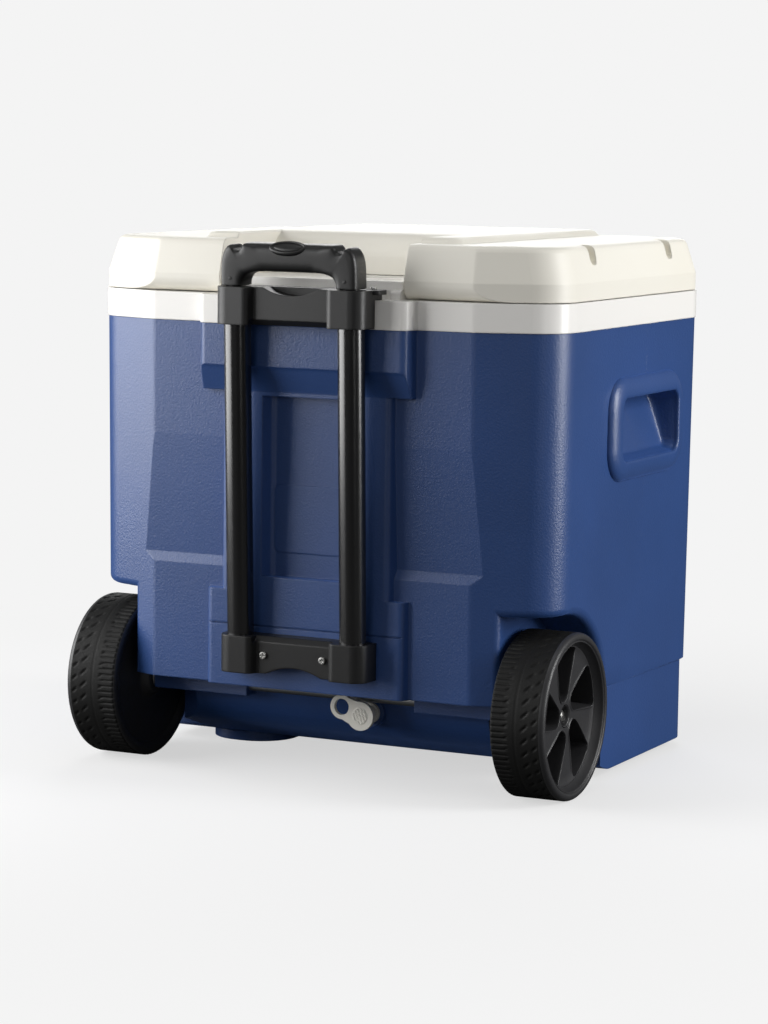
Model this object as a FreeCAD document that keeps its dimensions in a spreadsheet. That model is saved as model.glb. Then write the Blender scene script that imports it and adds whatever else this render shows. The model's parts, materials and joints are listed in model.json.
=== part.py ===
import FreeCAD, Part
import Sketcher
import math
import os
import re

# Wheeled cooler. Row frame: +Z up, +X to the right seen from behind, the handle and
# wheels at -Y, the origin on the floor under the centre of the bounding box.

SIZES = [
    # insulated tub
    ("depth", 400, "tub, back panel to front panel"),
    ("half_width", 236, "tub, centre to side at the rim"),
    ("facet_run", 74, "facet, from its crease to the tub's side"),
    ("crease_round", 12, "round along a crease"),
    ("facet_setback", 27, "how far a facet falls back at the tub's side"),
    ("corner_round", 40, "round between facet and side"),
    ("side_draft", 2.5, "how much the walls close in towards the belt's lower edge"),
    ("shell_wall", 3.5, "outer shell"),
    ("rim_bottom", 420, "height of the shell's top edge"),
    ("rim_height", 26, "liner's rim over the shell"),
    ("rim_lip", 1, "how far the rim stands out of the shell"),
    ("scoop_drop", 86, "from the shell's top edge to where the panel starts to fall back"),
    ("scoop_depth", 5.5, "depth of the panel above the belt"),
    ("belt_top", 192, "top of the belt"),
    ("belt_ledge", 12, "height of the sloping ledge over the belt"),
    ("belt_bottom", 87, "bottom of the belt"),
    ("base_inset", 3, "base inside the belt"),
    ("base_height", 8, "underside of the base over the floor"),
    ("well_round", 7, "round along the wheel wells' back edges"),
    # undercut between the wheels
    ("undercut_top", 60, "base behind the back panel, under the belt"),
    ("undercut_mid", 74, "the same at the bend"),
    ("undercut_bend", 38, "height of the bend"),
    ("undercut_foot", 165, "the same at the underside"),
    ("undercut_round", 40, "rounds of the undercut"),
    ("base_chamfer", 33, "cut corners of the base between the wheels"),
    # skid runners
    ("runner_in", 31, "from a wheel well to the centre of a runner"),
    ("runner_half", 42, "half the width of a runner"),
    ("runner_start", 158, "runner's end, from the back panel"),
    ("runner_front", 28, "runner's other end, from the front panel"),
    # blocks and spine behind the handle
    ("block_half", 103, "half the width of the upper block"),
    ("block_flare", 6, "how much a block's flanks spread"),
    ("block_height", 35, "face of the upper block"),
    ("block_slope", 26, "height of the slope under the block"),
    ("low_block_half", 99, "half the width of the lower block"),
    ("low_block_top", 176, "top of the lower block's face"),
    ("low_block_slope", 14, "slope over the lower block"),
    ("spine_half", 84, "half the width of the spine"),
    ("spine_recess_half", 47, "half the width of the recess in the spine"),
    ("spine_recess", 11, "depth of that recess"),
    ("recess_flare", 9, "how much the recess's sides spread"),
    ("slope_round", 10, "rounds of the slope under the block"),
    ("block_round", 6, "rounds on the blocks and the spine"),
    ("plate_low", 212, "badge pad, lower edge"),
    ("plate_height", 62, "badge pad"),
    ("plate_stand", 0.8, "badge pad over the recess floor"),
    ("seam_height", 144, "groove across the lower block"),
    ("seam_width", 1.2, "groove across the lower block"),
    # side hand pockets
    ("pocket_back", 155, "hand pocket's opening, back edge"),
    ("pocket_length", 142, "hand pocket's opening, back to front"),
    ("pocket_height", 59, "hand pocket's opening, low to high"),
    ("pocket_drop", 65, "from the shell's top edge to the opening"),
    ("pocket_taper", 4, "slope of the hand pocket's walls"),
    ("pocket_deep", 34, "hand pocket"),
    ("pocket_round", 12, "corners of the hand pocket"),
    ("frame_width", 15, "raised frame round the pocket"),
    ("frame_stand", 3, "raised frame over the side"),
    ("frame_round", 2.5, "round along the frame"),
    # liner
    ("liner_wall", 2.5, "inner liner"),
    ("side_wall", 42, "cavity's side wall, from the tub's side"),
    ("mouth_back", 42, "cavity's back wall, from the back panel"),
    ("mouth_front", 40, "cavity's front wall, from the front panel"),
    ("mouth_round", 24, "corners of the cavity"),
    ("deck_half", 90, "half the width of the raised deck behind the lid"),
    ("deck_back", 5, "deck, from the back panel"),
    ("deck_front", 107, "end of the deck, from the back panel"),
    ("deck_rise", 16, "deck over the rim"),
    ("deck_wall", 16, "cavity wall round the deck"),
    ("floor_top", 46, "cavity floor"),
    ("step_top", 205, "cavity steps over the wheels"),
    ("step_wall", 36, "from a wheel well to the cavity between the steps"),
    ("step_back", 98, "cavity's back wall under the step"),
    ("step_front", 184, "front of the steps"),
    # hinge
    ("hinge_round", 12, "round under the lid's back edge, about the hinge axis"),
    ("hinge_pin", 2.5, "hinge pin radius"),
    ("hinge_clear", 0.06, "hinge pin in the lid"),
    ("hinge_out", 108, "outer end of a hinge pin"),
    ("knuckle_in", 81, "rim knuckle, inner side"),
    ("knuckle_out", 91, "rim knuckle, outer side"),
    ("knuckle_rise", 8.5, "rim knuckle over the rim"),
    # lid
    ("lid_gap", 0.8, "gap between rim and lid"),
    ("waist_rise", 17, "where the lid's sides start to slope in, over the rim"),
    ("shoulder_rise", 49.5, "lid's shoulders over the rim"),
    ("lid_slope", 9, "how far the lid's sides slope in"),
    ("lid_wall", 3, "lid shell"),
    ("lid_round", 7, "round on the lid's shoulders"),
    ("middle_bevel", 2, "bevel on the edges of the lid's middle"),
    ("plateau_rise", 55, "lid's middle over the rim"),
    ("plateau_half", 131, "half the width of the middle at its foot"),
    ("plateau_start", 33, "middle's back edge, from the back panel"),
    ("plateau_end", 20, "middle's front edge, from the front panel"),
    ("plateau_bevel", 5, "sloping side of the middle"),
    ("recess_half", 93, "half the width of the recess for the handle"),
    ("recess_deep", 106, "recess for the handle"),
    ("recess_round", 22, "round over the recess's wall"),
    ("notch_back", 105, "first notch in the lid's side"),
    ("notch_step", 188, "from the first notch to the second"),
    ("notch_half", 7, "half the width of a notch"),
    ("notch_depth", 23, "notch, from the height of the lid's middle"),
    ("notch_reach", 20, "notch, in from the tub's side"),
    ("plug_clear", 3, "lid's plug in the cavity"),
    ("plug_depth", 12, "lid's plug"),
    ("pan_wall", 2.5, "lid's inner pan"),
    # telescopic handle
    ("tube_x", 57.2, "centre of a handle tube"),
    ("tube_foot", 15.2, "tube axis behind the back panel, at the floor"),
    ("lean_slope", 0.0384, "tangent of the tubes' lean"),
    ("tube_radius", 12.25, "outer tube"),
    ("tube_wall", 1.4, "outer tube"),
    ("tube_seat", 4, "outer tube's lower end over the lower bracket's edge"),
    ("tube_rise", 2, "outer tube's upper end over the rim"),
    ("mid_radius", 10, "middle tube"),
    ("mid_wall", 1.2, "middle tube"),
    ("mid_seat", 6, "middle tube's lower end over the outer tube's"),
    ("mid_rise", 5, "middle tube's upper end over the outer tube's"),
    ("top_tube_radius", 8, "inner tube"),
    ("top_tube_wall", 1.2, "inner tube"),
    ("top_tube_seat", 22, "inner tube's lower end over the middle tube's"),
    ("top_tube_drop", 26, "from the grip's top to the inner tube's end"),
    ("slide_clear", 0.06, "sliding fits of the tubes"),
    ("bush_height", 15, "sliding bushes"),
    ("bracket_half", 74, "half the width of a bracket"),
    ("bracket_height", 34, "bracket"),
    ("bracket_low", 104, "lower bracket's lower edge"),
    ("bracket_rise", 9, "upper bracket over the rim"),
    ("flange_thick", 4, "upper bracket's flange"),
    ("collar_wall", 3, "collar round a tube"),
    ("collar_half", 16.5, "half the width of a collar"),
    ("collar_round", 13, "outer corners of a collar"),
    ("collar_inner_round", 6, "inner corners of a collar"),
    ("plate_sink", 9, "bracket's plate inside its collars"),
    ("scallop_half", 28, "half the width of the finger scallop"),
    ("scallop_deep", 7, "height of the finger scallop"),
    ("bracket_bevel", 5, "bevel along the bracket's plate"),
    ("flange_half", 80, "half the width of the upper bracket's flange"),
    ("flange_deep", 14, "how far the flange lies on the rim"),
    ("screw_x", 30.1, "centre of a plate screw"),
    ("flange_screw_x", 68, "centre of a flange screw"),
    ("screw_radius", 2, "screw shank"),
    ("screw_head", 3.3, "screw head radius"),
    ("screw_head_height", 2.2, "screw head"),
    ("screw_length", 9, "screw shank in the tub"),
    # grip
    ("grip_height", 38.6, "grip"),
    ("horn_drop", 4, "grip's ends under its top"),
    ("grip_seat", 1.4, "gap between the upper bracket and the grip"),
    ("bar_height", 28, "grip's bar"),
    ("leg_half", 9.7, "half the width of a leg"),
    ("grip_half_deep", 13, "half the depth of the grip"),
    ("grip_split", 6, "joint between the grip's halves, in front of the tubes"),
    ("grip_round", 6, "rounds along the grip"),
    ("grip_corner", 19, "outer corners of the grip"),
    ("grip_window_half", 47.5, "half the width of the hand opening"),
    ("grip_window_round", 10, "corners of the hand opening"),
    ("grip_notch_in", 47, "notch in the grip's top, inner side"),
    ("grip_notch_out", 58, "notch in the grip's top, outer side"),
    ("grip_notch_depth", 10, "notch in the grip's top"),
    ("bar_drop", 18, "from the grip's top to the release bar's lower side"),
    ("bar_thick", 5, "release bar"),
    ("bar_half_deep", 3.5, "half the depth of the release bar"),
    ("bar_clear", 1.5, "space round the release bar"),
    ("press_travel", 3, "button travel"),
    ("button_tilt", 45, "button's lean towards the user"),
    ("button_long", 15, "half the length of the button"),
    ("button_short", 4.9, "half the width of the button"),
    ("button_clear", 0.3, "gap round the button"),
    ("button_stand", 1.2, "button over the bevel"),
    ("button_body", 5.5, "thickness of the button"),
    ("stem_radius", 2.5, "button stem"),
    ("grip_bevel", 9, "bevel that carries the button"),
    ("spring_half", 10, "half the length of the release spring"),
    ("spring_half_deep", 3, "half the width of the release spring"),
    ("spring_leaf", 0.6, "release spring's leaf"),
    ("spring_bow", 3, "bend in the middle of the spring"),
    ("spring_seat", 3, "spring's foot over the underside of the bar"),
    ("rod_radius", 2, "release rod"),
    ("pin_radius", 2, "lock pin"),
    ("pin_gap", 0.35, "lock pin inside the middle tube"),
    ("pin_drop", 8, "from the inner tube's lower end to the lock pins"),
    ("pin_length", 6, "lock pin"),
    # running gear
    ("wheel_radius", 76, "wheel"),
    ("wheel_width", 52, "wheel"),
    ("wheel_stand", 7.7, "wheel's outer face beyond the tub's side"),
    ("axle_back", 56, "axle, from the back panel"),
    ("axle_radius", 5, "axle"),
    ("axle_clear", 0.08, "axle in the hub"),
    ("well_width", 50, "from the tub's side to the wheel well's inner wall"),
    ("arch_round", 91, "wheel arch"),
    ("well_front", 147, "wheel well's front wall, from the back panel"),
    ("saddle_in", 87, "inner end of an axle saddle"),
    ("saddle_half", 9, "half the depth of a saddle"),
    ("tread_wall", 8, "wheel's tread ring"),
    ("tread_crown", 2.5, "tread's middle over its shoulders"),
    ("band_half", 6, "half the width of the tread's plain band"),
    ("tread_bevel", 4, "bevel of the tread's shoulders"),
    ("groove_half", 1.6, "half the width of a groove between two lugs"),
    ("groove_deep", 3, "depth of the grooves"),
    ("groove_pitch", 6, "from a groove on one side to the next on the other"),
    ("groove_slant", 5, "slope of a groove's inner end"),
    ("lug_reach", 17, "how far the grooves reach in from the wheel's faces"),
    ("rim_slope", 6, "sloping inside of the wheel's rim"),
    ("lip_height", 1.5, "lip round a window"),
    ("lip_width", 2.5, "lip round a window"),
    ("web_thick", 7, "wheel's web"),
    ("dish", 8, "web inside the wheel's face"),
    ("hub_radius", 16, "wheel hub"),
    ("hub_sink", 14, "hub inside the wheel's face"),
    ("hub_reach", 3.6, "hub beyond the wheel's inner face"),
    ("cap_recess", 9, "recess for the retainer"),
    ("window_in", 26, "spoke windows, inner radius"),
    ("window_out", 52, "spoke windows, outer radius"),
    ("window_swirl", 16, "how far the windows lean round the hub"),
    ("window_round", 4, "corners of the windows"),
    ("retainer_radius", 7, "axle retainer"),
    ("retainer_thick", 4, "axle retainer"),
    ("washer_radius", 11, "axle washer"),
    ("washer_thick", 1.5, "axle washer"),
    # drain
    ("drain_x", 35, "drain, right of the centre"),
    ("drain_height", 60, "drain axis"),
    ("drain_bore", 6, "drain bore"),
    ("drain_pipe", 8, "drain pipe"),
    ("drain_flange", 9.8, "drain flange"),
    ("drain_flange_thick", 4, "drain flange"),
    ("drain_boss", 63, "face of the drain's boss, from the back panel"),
    ("drain_out", 45, "drain's mouth, from the back panel"),
    ("cap_radius", 13.5, "drain cap"),
    ("cap_thick", 4.5, "drain cap"),
    ("cap_plug", 5.9, "drain cap's plug"),
    ("cap_plug_long", 14, "drain cap's plug"),
    ("ring_radius", 9.5, "pull ring of the cap"),
    ("ring_bar", 2, "half the thickness of the pull ring"),
    ("ring_out", 19, "centre of the cap to the ring's centre"),
    ("ring_up", 7, "ring's centre over the cap's"),
    ("drain_nut", 12, "drain nut"),
    ("drain_nut_thick", 6, "drain nut"),
    ("gasket_thick", 1.5, "drain gasket"),
]

DERIVED = {
    # heights that follow the rim, and half widths that follow the tub's side
    "rim_top": "(rim_bottom + rim_height)",
    "scoop_top": "(rim_bottom - scoop_drop)",
    "block_bottom": "(rim_bottom - block_height)",
    "pocket_high": "(rim_bottom - pocket_drop)",
    "pocket_low": "(pocket_high - pocket_height)",
    "pocket_front": "(pocket_back + pocket_length)",
    "crease": "(half_width - facet_run)",
    "well_wall": "(half_width - well_width)",
    "mouth_half": "(half_width - side_wall)",
    "step_half": "(well_wall - step_wall)",
    "runner_x": "(well_wall - runner_in)",
    "runner_end": "(depth - runner_front)",
    "wheel_face": "(half_width + wheel_stand)",
    "notch_in": "(half_width - notch_reach)",
    "deck_top": "(rim_top + deck_rise)",
    "knuckle_top": "(rim_top + knuckle_rise)",
    "lid_waist": "(rim_top + waist_rise)",
    "lid_shoulder": "(rim_top + shoulder_rise)",
    "plateau_top": "(rim_top + plateau_rise)",
    "notch_bottom": "(plateau_top - notch_depth)",
    "bracket_top": "(rim_top + bracket_rise)",
    "tube_low": "(bracket_low + tube_seat)",
    "tube_high": "(rim_top + tube_rise)",
    "mid_low": "(tube_low + mid_seat)",
    "mid_high": "(tube_high + mid_rise)",
    "top_tube_low": "(mid_low + top_tube_seat)",
    "pin_height": "(top_tube_low - pin_drop)",
    "grip_bottom": "(bracket_top + grip_seat)",
    "grip_top": "(grip_bottom + grip_height)",
    "grip_horn": "(grip_top - horn_drop)",
    "grip_bar_bottom": "(grip_top - bar_height)",
    "grip_notch_bottom": "(grip_top - grip_notch_depth)",
    "bar_low": "(grip_top - bar_drop)",
    "top_tube_high": "(grip_top - top_tube_drop)",
    # the tubes lean back, so the upper bracket's collars reach furthest behind the tub
    "reach": "(tube_foot + rim_top * lean_slope + tube_radius + collar_wall)",
    "back": "((reach - depth - rim_lip) / 2)",
    "front": "(back + depth)",
    "facet_angle": "atan(facet_setback / (half_width - crease))",
    "crease_shift": "tan(facet_angle / 2)",
    "side_shift": "((1 - sin(facet_angle)) / cos(facet_angle))",
    # the blocks stop just short of the leaning tubes
    "block_stand": "(tube_foot + block_bottom * lean_slope - tube_radius - 0.3)",
    "low_stand": "(tube_foot + bracket_low * lean_slope - tube_radius - 0.3)",
    "low_reach": "(tube_foot + (bracket_low + bracket_height) * lean_slope + tube_radius + collar_wall)",
    "lid_bottom": "(rim_top + lid_gap)",
    "lid_lean": "atan(lid_slope / (lid_shoulder - lid_waist))",
    "hinge_y": "(back + hinge_round)",
    "hinge_z": "(lid_bottom + hinge_round)",
    "axle_y": "(back + axle_back)",
    "bevel_depth": "(grip_top - grip_bevel / 2)",
    "axle_end": "(wheel_face - hub_sink - cap_recess + 0.3 + retainer_thick)",
}

SPOKES = 5
LUGS = 40

doc = FreeCAD.newDocument("wheeled_cooler")
sheet = doc.addObject("Spreadsheet::Sheet", "Sizes")
for row, (alias, value, meaning) in enumerate(SIZES, start=1):
    sheet.set("A%d" % row, meaning)
    sheet.set("B%d" % row, str(value))
    sheet.setAlias("B%d" % row, alias)
doc.recompute()
ALIASES = {alias for alias, value, meaning in SIZES}
V = FreeCAD.Vector


# ---- expressions ----

def formula(text):
    """Write out a size formula with the sheet's cells in it."""
    def expand(match):
        word = match.group()
        if word in DERIVED:
            return formula(DERIVED[word])
        return "Sizes." + word if word in ALIASES else word
    return re.sub(r"[a-z_]+", expand, str(text))


def size(text):
    """Value of a size formula in millimetres or degrees."""
    value = sheet.evalExpression(formula(text))
    return float(getattr(value, "Value", value))


# ---- sketches ----

def new_body(label):
    body = doc.addObject("PartDesign::Body", label)
    body.Label = label
    return body


def new_sketch(body, name, role, offset="0"):
    """Sketch on one of the body's own origin planes, moved along its normal."""
    plane = [item for item in body.Origin.OriginFeatures if item.Role == role][0]
    sketch = body.newObject("Sketcher::SketchObject", name)
    sketch.AttachmentSupport = (plane, [""])
    sketch.MapMode = "FlatFace"
    sketch.setExpression("AttachmentOffset.Base.z", formula(offset))
    return sketch


def outline(sketch, corners):
    """Closed outline through corners (x, y) or (x, y, round), all bound to the sheet."""
    count = len(corners)
    points = [V(size(corner[0]), size(corner[1]), 0) for corner in corners]
    starts, ends, rounds = [], [], {}
    for index, point in enumerate(points):
        if len(corners[index]) < 3:
            starts.append(point)
            ends.append(point)
            continue
        radius = size(corners[index][2])
        before = (points[index - 1] - point).normalize()
        after = (points[(index + 1) % count] - point).normalize()
        half = before.getAngle(after) / 2
        starts.append(point + before * (radius / math.tan(half)))
        ends.append(point + after * (radius / math.tan(half)))
        rounds[index] = (point + (before + after).normalize() * (radius / math.sin(half)), radius)
    first = sketch.GeometryCount
    sketch.addGeometry([Part.LineSegment(ends[i], starts[(i + 1) % count]) for i in range(count)], False)
    constraints, bound = [], []
    for index, point in enumerate(points):
        line, line_before = first + index, first + (index - 1) % count
        if index in rounds:
            centre, radius = rounds[index]
            angles = [math.atan2(end.y - centre.y, end.x - centre.x) for end in (starts[index], ends[index])]
            near = 1 if (angles[1] - angles[0]) % (2 * math.pi) < math.pi else 2
            begin = angles[near - 1]
            finish = begin + (angles[2 - near] - begin) % (2 * math.pi)
            ring = Part.Circle(centre, V(0, 0, 1), radius)
            arc = sketch.addGeometry(Part.ArcOfCircle(ring, begin, finish), False)
            anchor = sketch.addGeometry(Part.Point(point), True)
            constraints += [
                Sketcher.Constraint("Tangent", line_before, 2, arc, near),
                Sketcher.Constraint("Tangent", arc, 3 - near, line, 1),
                Sketcher.Constraint("PointOnObject", anchor, 1, line_before),
                Sketcher.Constraint("PointOnObject", anchor, 1, line),
                Sketcher.Constraint("Radius", arc, radius),
            ]
            bound.append((len(constraints) - 1, corners[index][2]))
        else:
            constraints.append(Sketcher.Constraint("Coincident", line_before, 2, line, 1))
            anchor = line
        constraints.append(Sketcher.Constraint("DistanceX", -1, 1, anchor, 1, point.x))
        bound.append((len(constraints) - 1, corners[index][0]))
        constraints.append(Sketcher.Constraint("DistanceY", -1, 1, anchor, 1, point.y))
        bound.append((len(constraints) - 1, corners[index][1]))
    bind_constraints(sketch, constraints, bound)


def circle(sketch, x, y, radius):
    ring = sketch.addGeometry(Part.Circle(V(size(x), size(y), 0), V(0, 0, 1), size(radius)), False)
    constraints = [
        Sketcher.Constraint("Radius", ring, size(radius)),
        Sketcher.Constraint("DistanceX", -1, 1, ring, 3, size(x)),
        Sketcher.Constraint("DistanceY", -1, 1, ring, 3, size(y)),
    ]
    bind_constraints(sketch, constraints, [(0, radius), (1, x), (2, y)])


def bind_constraints(sketch, constraints, bound):
    offset = sketch.ConstraintCount
    sketch.addConstraint(constraints)
    for index, text in bound:
        sketch.setExpression("Constraints[%d]" % (offset + index), formula(text))


# ---- features ----

def feature(body, kind, name, sketch, length, **settings):
    """Pad or Pocket of a sketch; a length of None goes through everything."""
    item = body.newObject("PartDesign::" + kind, name)
    item.Profile = sketch
    for key, value in settings.items():
        setattr(item, key, value)
    if length is not None:
        item.setExpression("Length", formula(length))
    return item


def pad(body, name, role, offset, length, *outlines, **settings):
    sketch = new_sketch(body, name + "_sketch", role, offset)
    for corners in outlines:
        draw(sketch, corners)
    return feature(body, "Pad", name, sketch, length, **settings)


def pocket(body, name, role, offset, length, *outlines, **settings):
    sketch = new_sketch(body, name + "_sketch", role, offset)
    for corners in outlines:
        draw(sketch, corners)
    return feature(body, "Pocket", name, sketch, length, **settings)


def draw(sketch, corners):
    """A tuple of three formulas is a circle, a list of corners an outline."""
    if isinstance(corners, tuple):
        circle(sketch, *corners)
    else:
        outline(sketch, corners)


def loft(body, name, role, *sections):
    """Ruled loft through (offset, corners) sections."""
    sketches = []
    for number, (offset, corners) in enumerate(sections):
        sketch = new_sketch(body, "%s_section_%d" % (name, number), role, offset)
        draw(sketch, corners)
        sketches.append(sketch)
    item = body.newObject("PartDesign::AdditiveLoft", name)
    item.Profile = sketches[0]
    item.Sections = sketches[1:]
    item.Ruled = True
    return item


def mirror(body, name, items, role="YZ_Plane"):
    plane = [item for item in body.Origin.OriginFeatures if item.Role == role][0]
    item = body.newObject("PartDesign::Mirrored", name)
    item.Originals = items
    item.MirrorPlane = (plane, [""])
    body.Tip = item
    return item


def polar(body, name, items, role, count):
    """Copies of features round one of the body's own axes."""
    axis = [item for item in body.Origin.OriginFeatures if item.Role == role][0]
    item = body.newObject("PartDesign::PolarPattern", name)
    item.Originals = items
    item.Axis = (axis, [""])
    item.Angle = 360
    item.Occurrences = count
    body.Tip = item
    return item


def edges_where(shape, test):
    """Names of the edges whose middle point and direction pass the test."""
    names = []
    for number, edge in enumerate(shape.Edges, start=1):
        middle = edge.valueAt((edge.FirstParameter + edge.LastParameter) / 2)
        along = (edge.lastVertex().Point - edge.firstVertex().Point)
        along = along.normalize() if along.Length > 1e-6 else V(0, 0, 0)
        if test(middle, along):
            names.append("Edge%d" % number)
    return names


def dress(body, kind, name, amount, test):
    """Fillet or Chamfer on the edges of the body's last feature that pass the test."""
    doc.recompute()
    base = body.Tip
    item = body.newObject("PartDesign::" + kind, name)
    item.Base = (base, edges_where(base.Shape, test))
    item.setExpression("Radius" if kind == "Fillet" else "Size", formula(amount))
    return item


def combine(kind, label, base, tool):
    """Part::Cut, Part::Fuse or Part::Common of two objects."""
    item = doc.addObject("Part::" + kind, label)
    item.Label = label
    item.Base = base
    item.Tool = tool
    return item


def fuse_all(label, items):
    item = doc.addObject("Part::MultiFuse", label)
    item.Label = label
    item.Shapes = items
    return item


def group(label, items):
    """Separate solids that share one node."""
    item = doc.addObject("Part::Compound", label)
    item.Label = label
    item.Links = items
    return item


def lean(item, y="0", z="0", tilt="0"):
    """Stand an upright object on the handle's leaning axis, moved and tilted along it."""
    item.Placement = FreeCAD.Placement(V(0, 0, 0), FreeCAD.Rotation(V(1, 0, 0), 1))
    angle = "atan(lean_slope)"
    item.setExpression("Placement.Base.y", formula(
        "back - tube_foot + (%s) * cos(%s) - (%s) * sin(%s)" % (y, angle, z, angle)))
    item.setExpression("Placement.Base.z", formula(
        "(%s) * sin(%s) + (%s) * cos(%s)" % (y, angle, z, angle)))
    item.setExpression("Placement.Rotation.Angle", formula("%s + (%s) * 1 deg" % (angle, tilt)))
    return item


PARTS = {}


def keep(item):
    PARTS[item.Label] = item
    return item


# ---- tub ----

def tub_plan(inset):
    """Plan of the tub: flat panels, a facet to each corner, rounded to the sides."""
    near_x = "crease - (%s) * crease_shift" % inset
    far_x = "half_width - (%s)" % inset
    panel = "back + (%s)" % inset
    corner = "back + facet_setback + (%s) * side_shift" % inset
    panel_front = "front - (%s)" % inset
    corner_front = "front - facet_setback - (%s) * side_shift" % inset
    return [
        ("-(%s)" % near_x, panel, "crease_round"), (near_x, panel, "crease_round"),
        (far_x, corner, "corner_round"), (far_x, corner_front, "corner_round"),
        (near_x, panel_front, "crease_round"), ("-(%s)" % near_x, panel_front, "crease_round"),
        ("-(%s)" % far_x, corner_front, "corner_round"), ("-(%s)" % far_x, corner, "corner_round"),
    ]


def tub_form(label, inset):
    """Outside of the tub, or with an inset the space inside its shell."""
    body = new_body(label)
    low = "base_height + %s" % inset
    loft(body, label + "_walls", "XY_Plane",
         ("belt_bottom", tub_plan("side_draft + %s" % inset)), ("rim_bottom", tub_plan(inset)))
    pad(body, label + "_base", "XY_Plane", low, "belt_bottom - (%s) + 1" % low,
        tub_plan("side_draft + base_inset + %s" % inset))
    reach_out = "back - 60"
    scoop = "back + scoop_depth + %s" % inset
    scoop_front = "front - scoop_depth - (%s)" % inset
    pocket(body, label + "_scoop", "YZ_Plane", "0", "2 * half_width + 20",
           [(reach_out, "scoop_top"), ("back + %s" % inset, "scoop_top"),
            (scoop, "belt_top + belt_ledge"), ("back + %s" % inset, "belt_top - %s" % inset),
            (reach_out, "belt_top - %s" % inset)],
           [("front + 60", "scoop_top"), ("front - (%s)" % inset, "scoop_top"),
            (scoop_front, "belt_top + belt_ledge"), ("front - (%s)" % inset, "belt_top - %s" % inset),
            ("front + 60", "belt_top - %s" % inset)],
           Midplane=True)
    pocket(body, label + "_undercut", "YZ_Plane", "0", "2 * half_width + 20",
           [(reach_out, "-20"), (reach_out, "belt_bottom + %s" % inset),
            ("back + undercut_top + %s" % inset, "belt_bottom + %s" % inset),
            ("back + undercut_mid + %s" % inset, "undercut_bend + %s / 2" % inset, "undercut_round"),
            ("back + undercut_foot + %s" % inset, "base_height + %s" % inset, "undercut_round"),
            ("back + undercut_foot + 60", "base_height + %s" % inset),
            ("back + undercut_foot + 60", "-20")],
           Midplane=True)
    corner = pocket(body, label + "_base_corner", "XY_Plane", "belt_bottom + %s" % inset, "belt_bottom + 20",
                    [("well_wall + 20", "back - 20"), ("well_wall - base_chamfer - %s" % inset, "back - 20"),
                     ("well_wall - base_chamfer - %s" % inset, "back + undercut_mid - 2 + %s" % inset),
                     ("well_wall - %s" % inset, "back + undercut_mid - 2 + base_chamfer + %s" % inset),
                     ("well_wall + 20", "back + undercut_mid - 2 + base_chamfer + %s" % inset)])
    well = pocket(body, label + "_well", "YZ_Plane", "half_width + 40", "half_width + 40 - well_wall + %s" % inset,
                  [(reach_out, "-20"), (reach_out, "wheel_radius + arch_round + %s" % inset),
                   ("back + well_front + %s" % inset, "wheel_radius + arch_round + %s" % inset,
                    "arch_round + %s - 2" % inset),
                   ("back + well_front + %s" % inset, "-20")])
    mirror(body, label + "_wells", [corner, well])
    if inset == "0":
        dress(body, "Fillet", label + "_well_edges", "well_round", on_well_edge)
    return body


def on_well_edge(middle, along):
    """Edges where a wheel well opens in the back and in the side of the tub."""
    wall, across = size("well_wall"), abs(middle.x)
    level = size("belt_bottom") < middle.z < size("wheel_radius + arch_round") + 0.1
    behind = across > wall - 1 and middle.y < size("back + facet_setback")
    beside = across > wall + 1 and middle.y < size("back + well_front") + 1
    return level and abs(along.x) < 0.97 and (behind or beside)


def hand_pocket(body, label, inset):
    opening = [
        ("back + pocket_back - %s" % inset, "pocket_low - %s" % inset, "pocket_round"),
        ("back + pocket_front + %s" % inset, "pocket_low - %s" % inset, "pocket_round"),
        ("back + pocket_front + %s" % inset, "pocket_high + %s" % inset, "pocket_round"),
        ("back + pocket_back + 6 - %s" % inset, "pocket_high + %s" % inset, "pocket_round"),
    ]
    hole = pocket(body, label + "_pocket", "YZ_Plane", "half_width + frame_stand",
                  "pocket_deep + frame_stand + %s" % inset, opening)
    hole.setExpression("TaperAngle", formula("0 - pocket_taper"))
    mirror(body, label + "_pockets", [hole])


def block_plan(half, stand):
    """Plan of a block that stands out of the back panel with spreading flanks."""
    return [
        ("-(%s)" % half, "back - (%s)" % stand, "block_round"), (half, "back - (%s)" % stand, "block_round"),
        ("%s + block_flare" % half, "back + 10"), ("-(%s + block_flare)" % half, "back + 10"),
    ]


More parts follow.
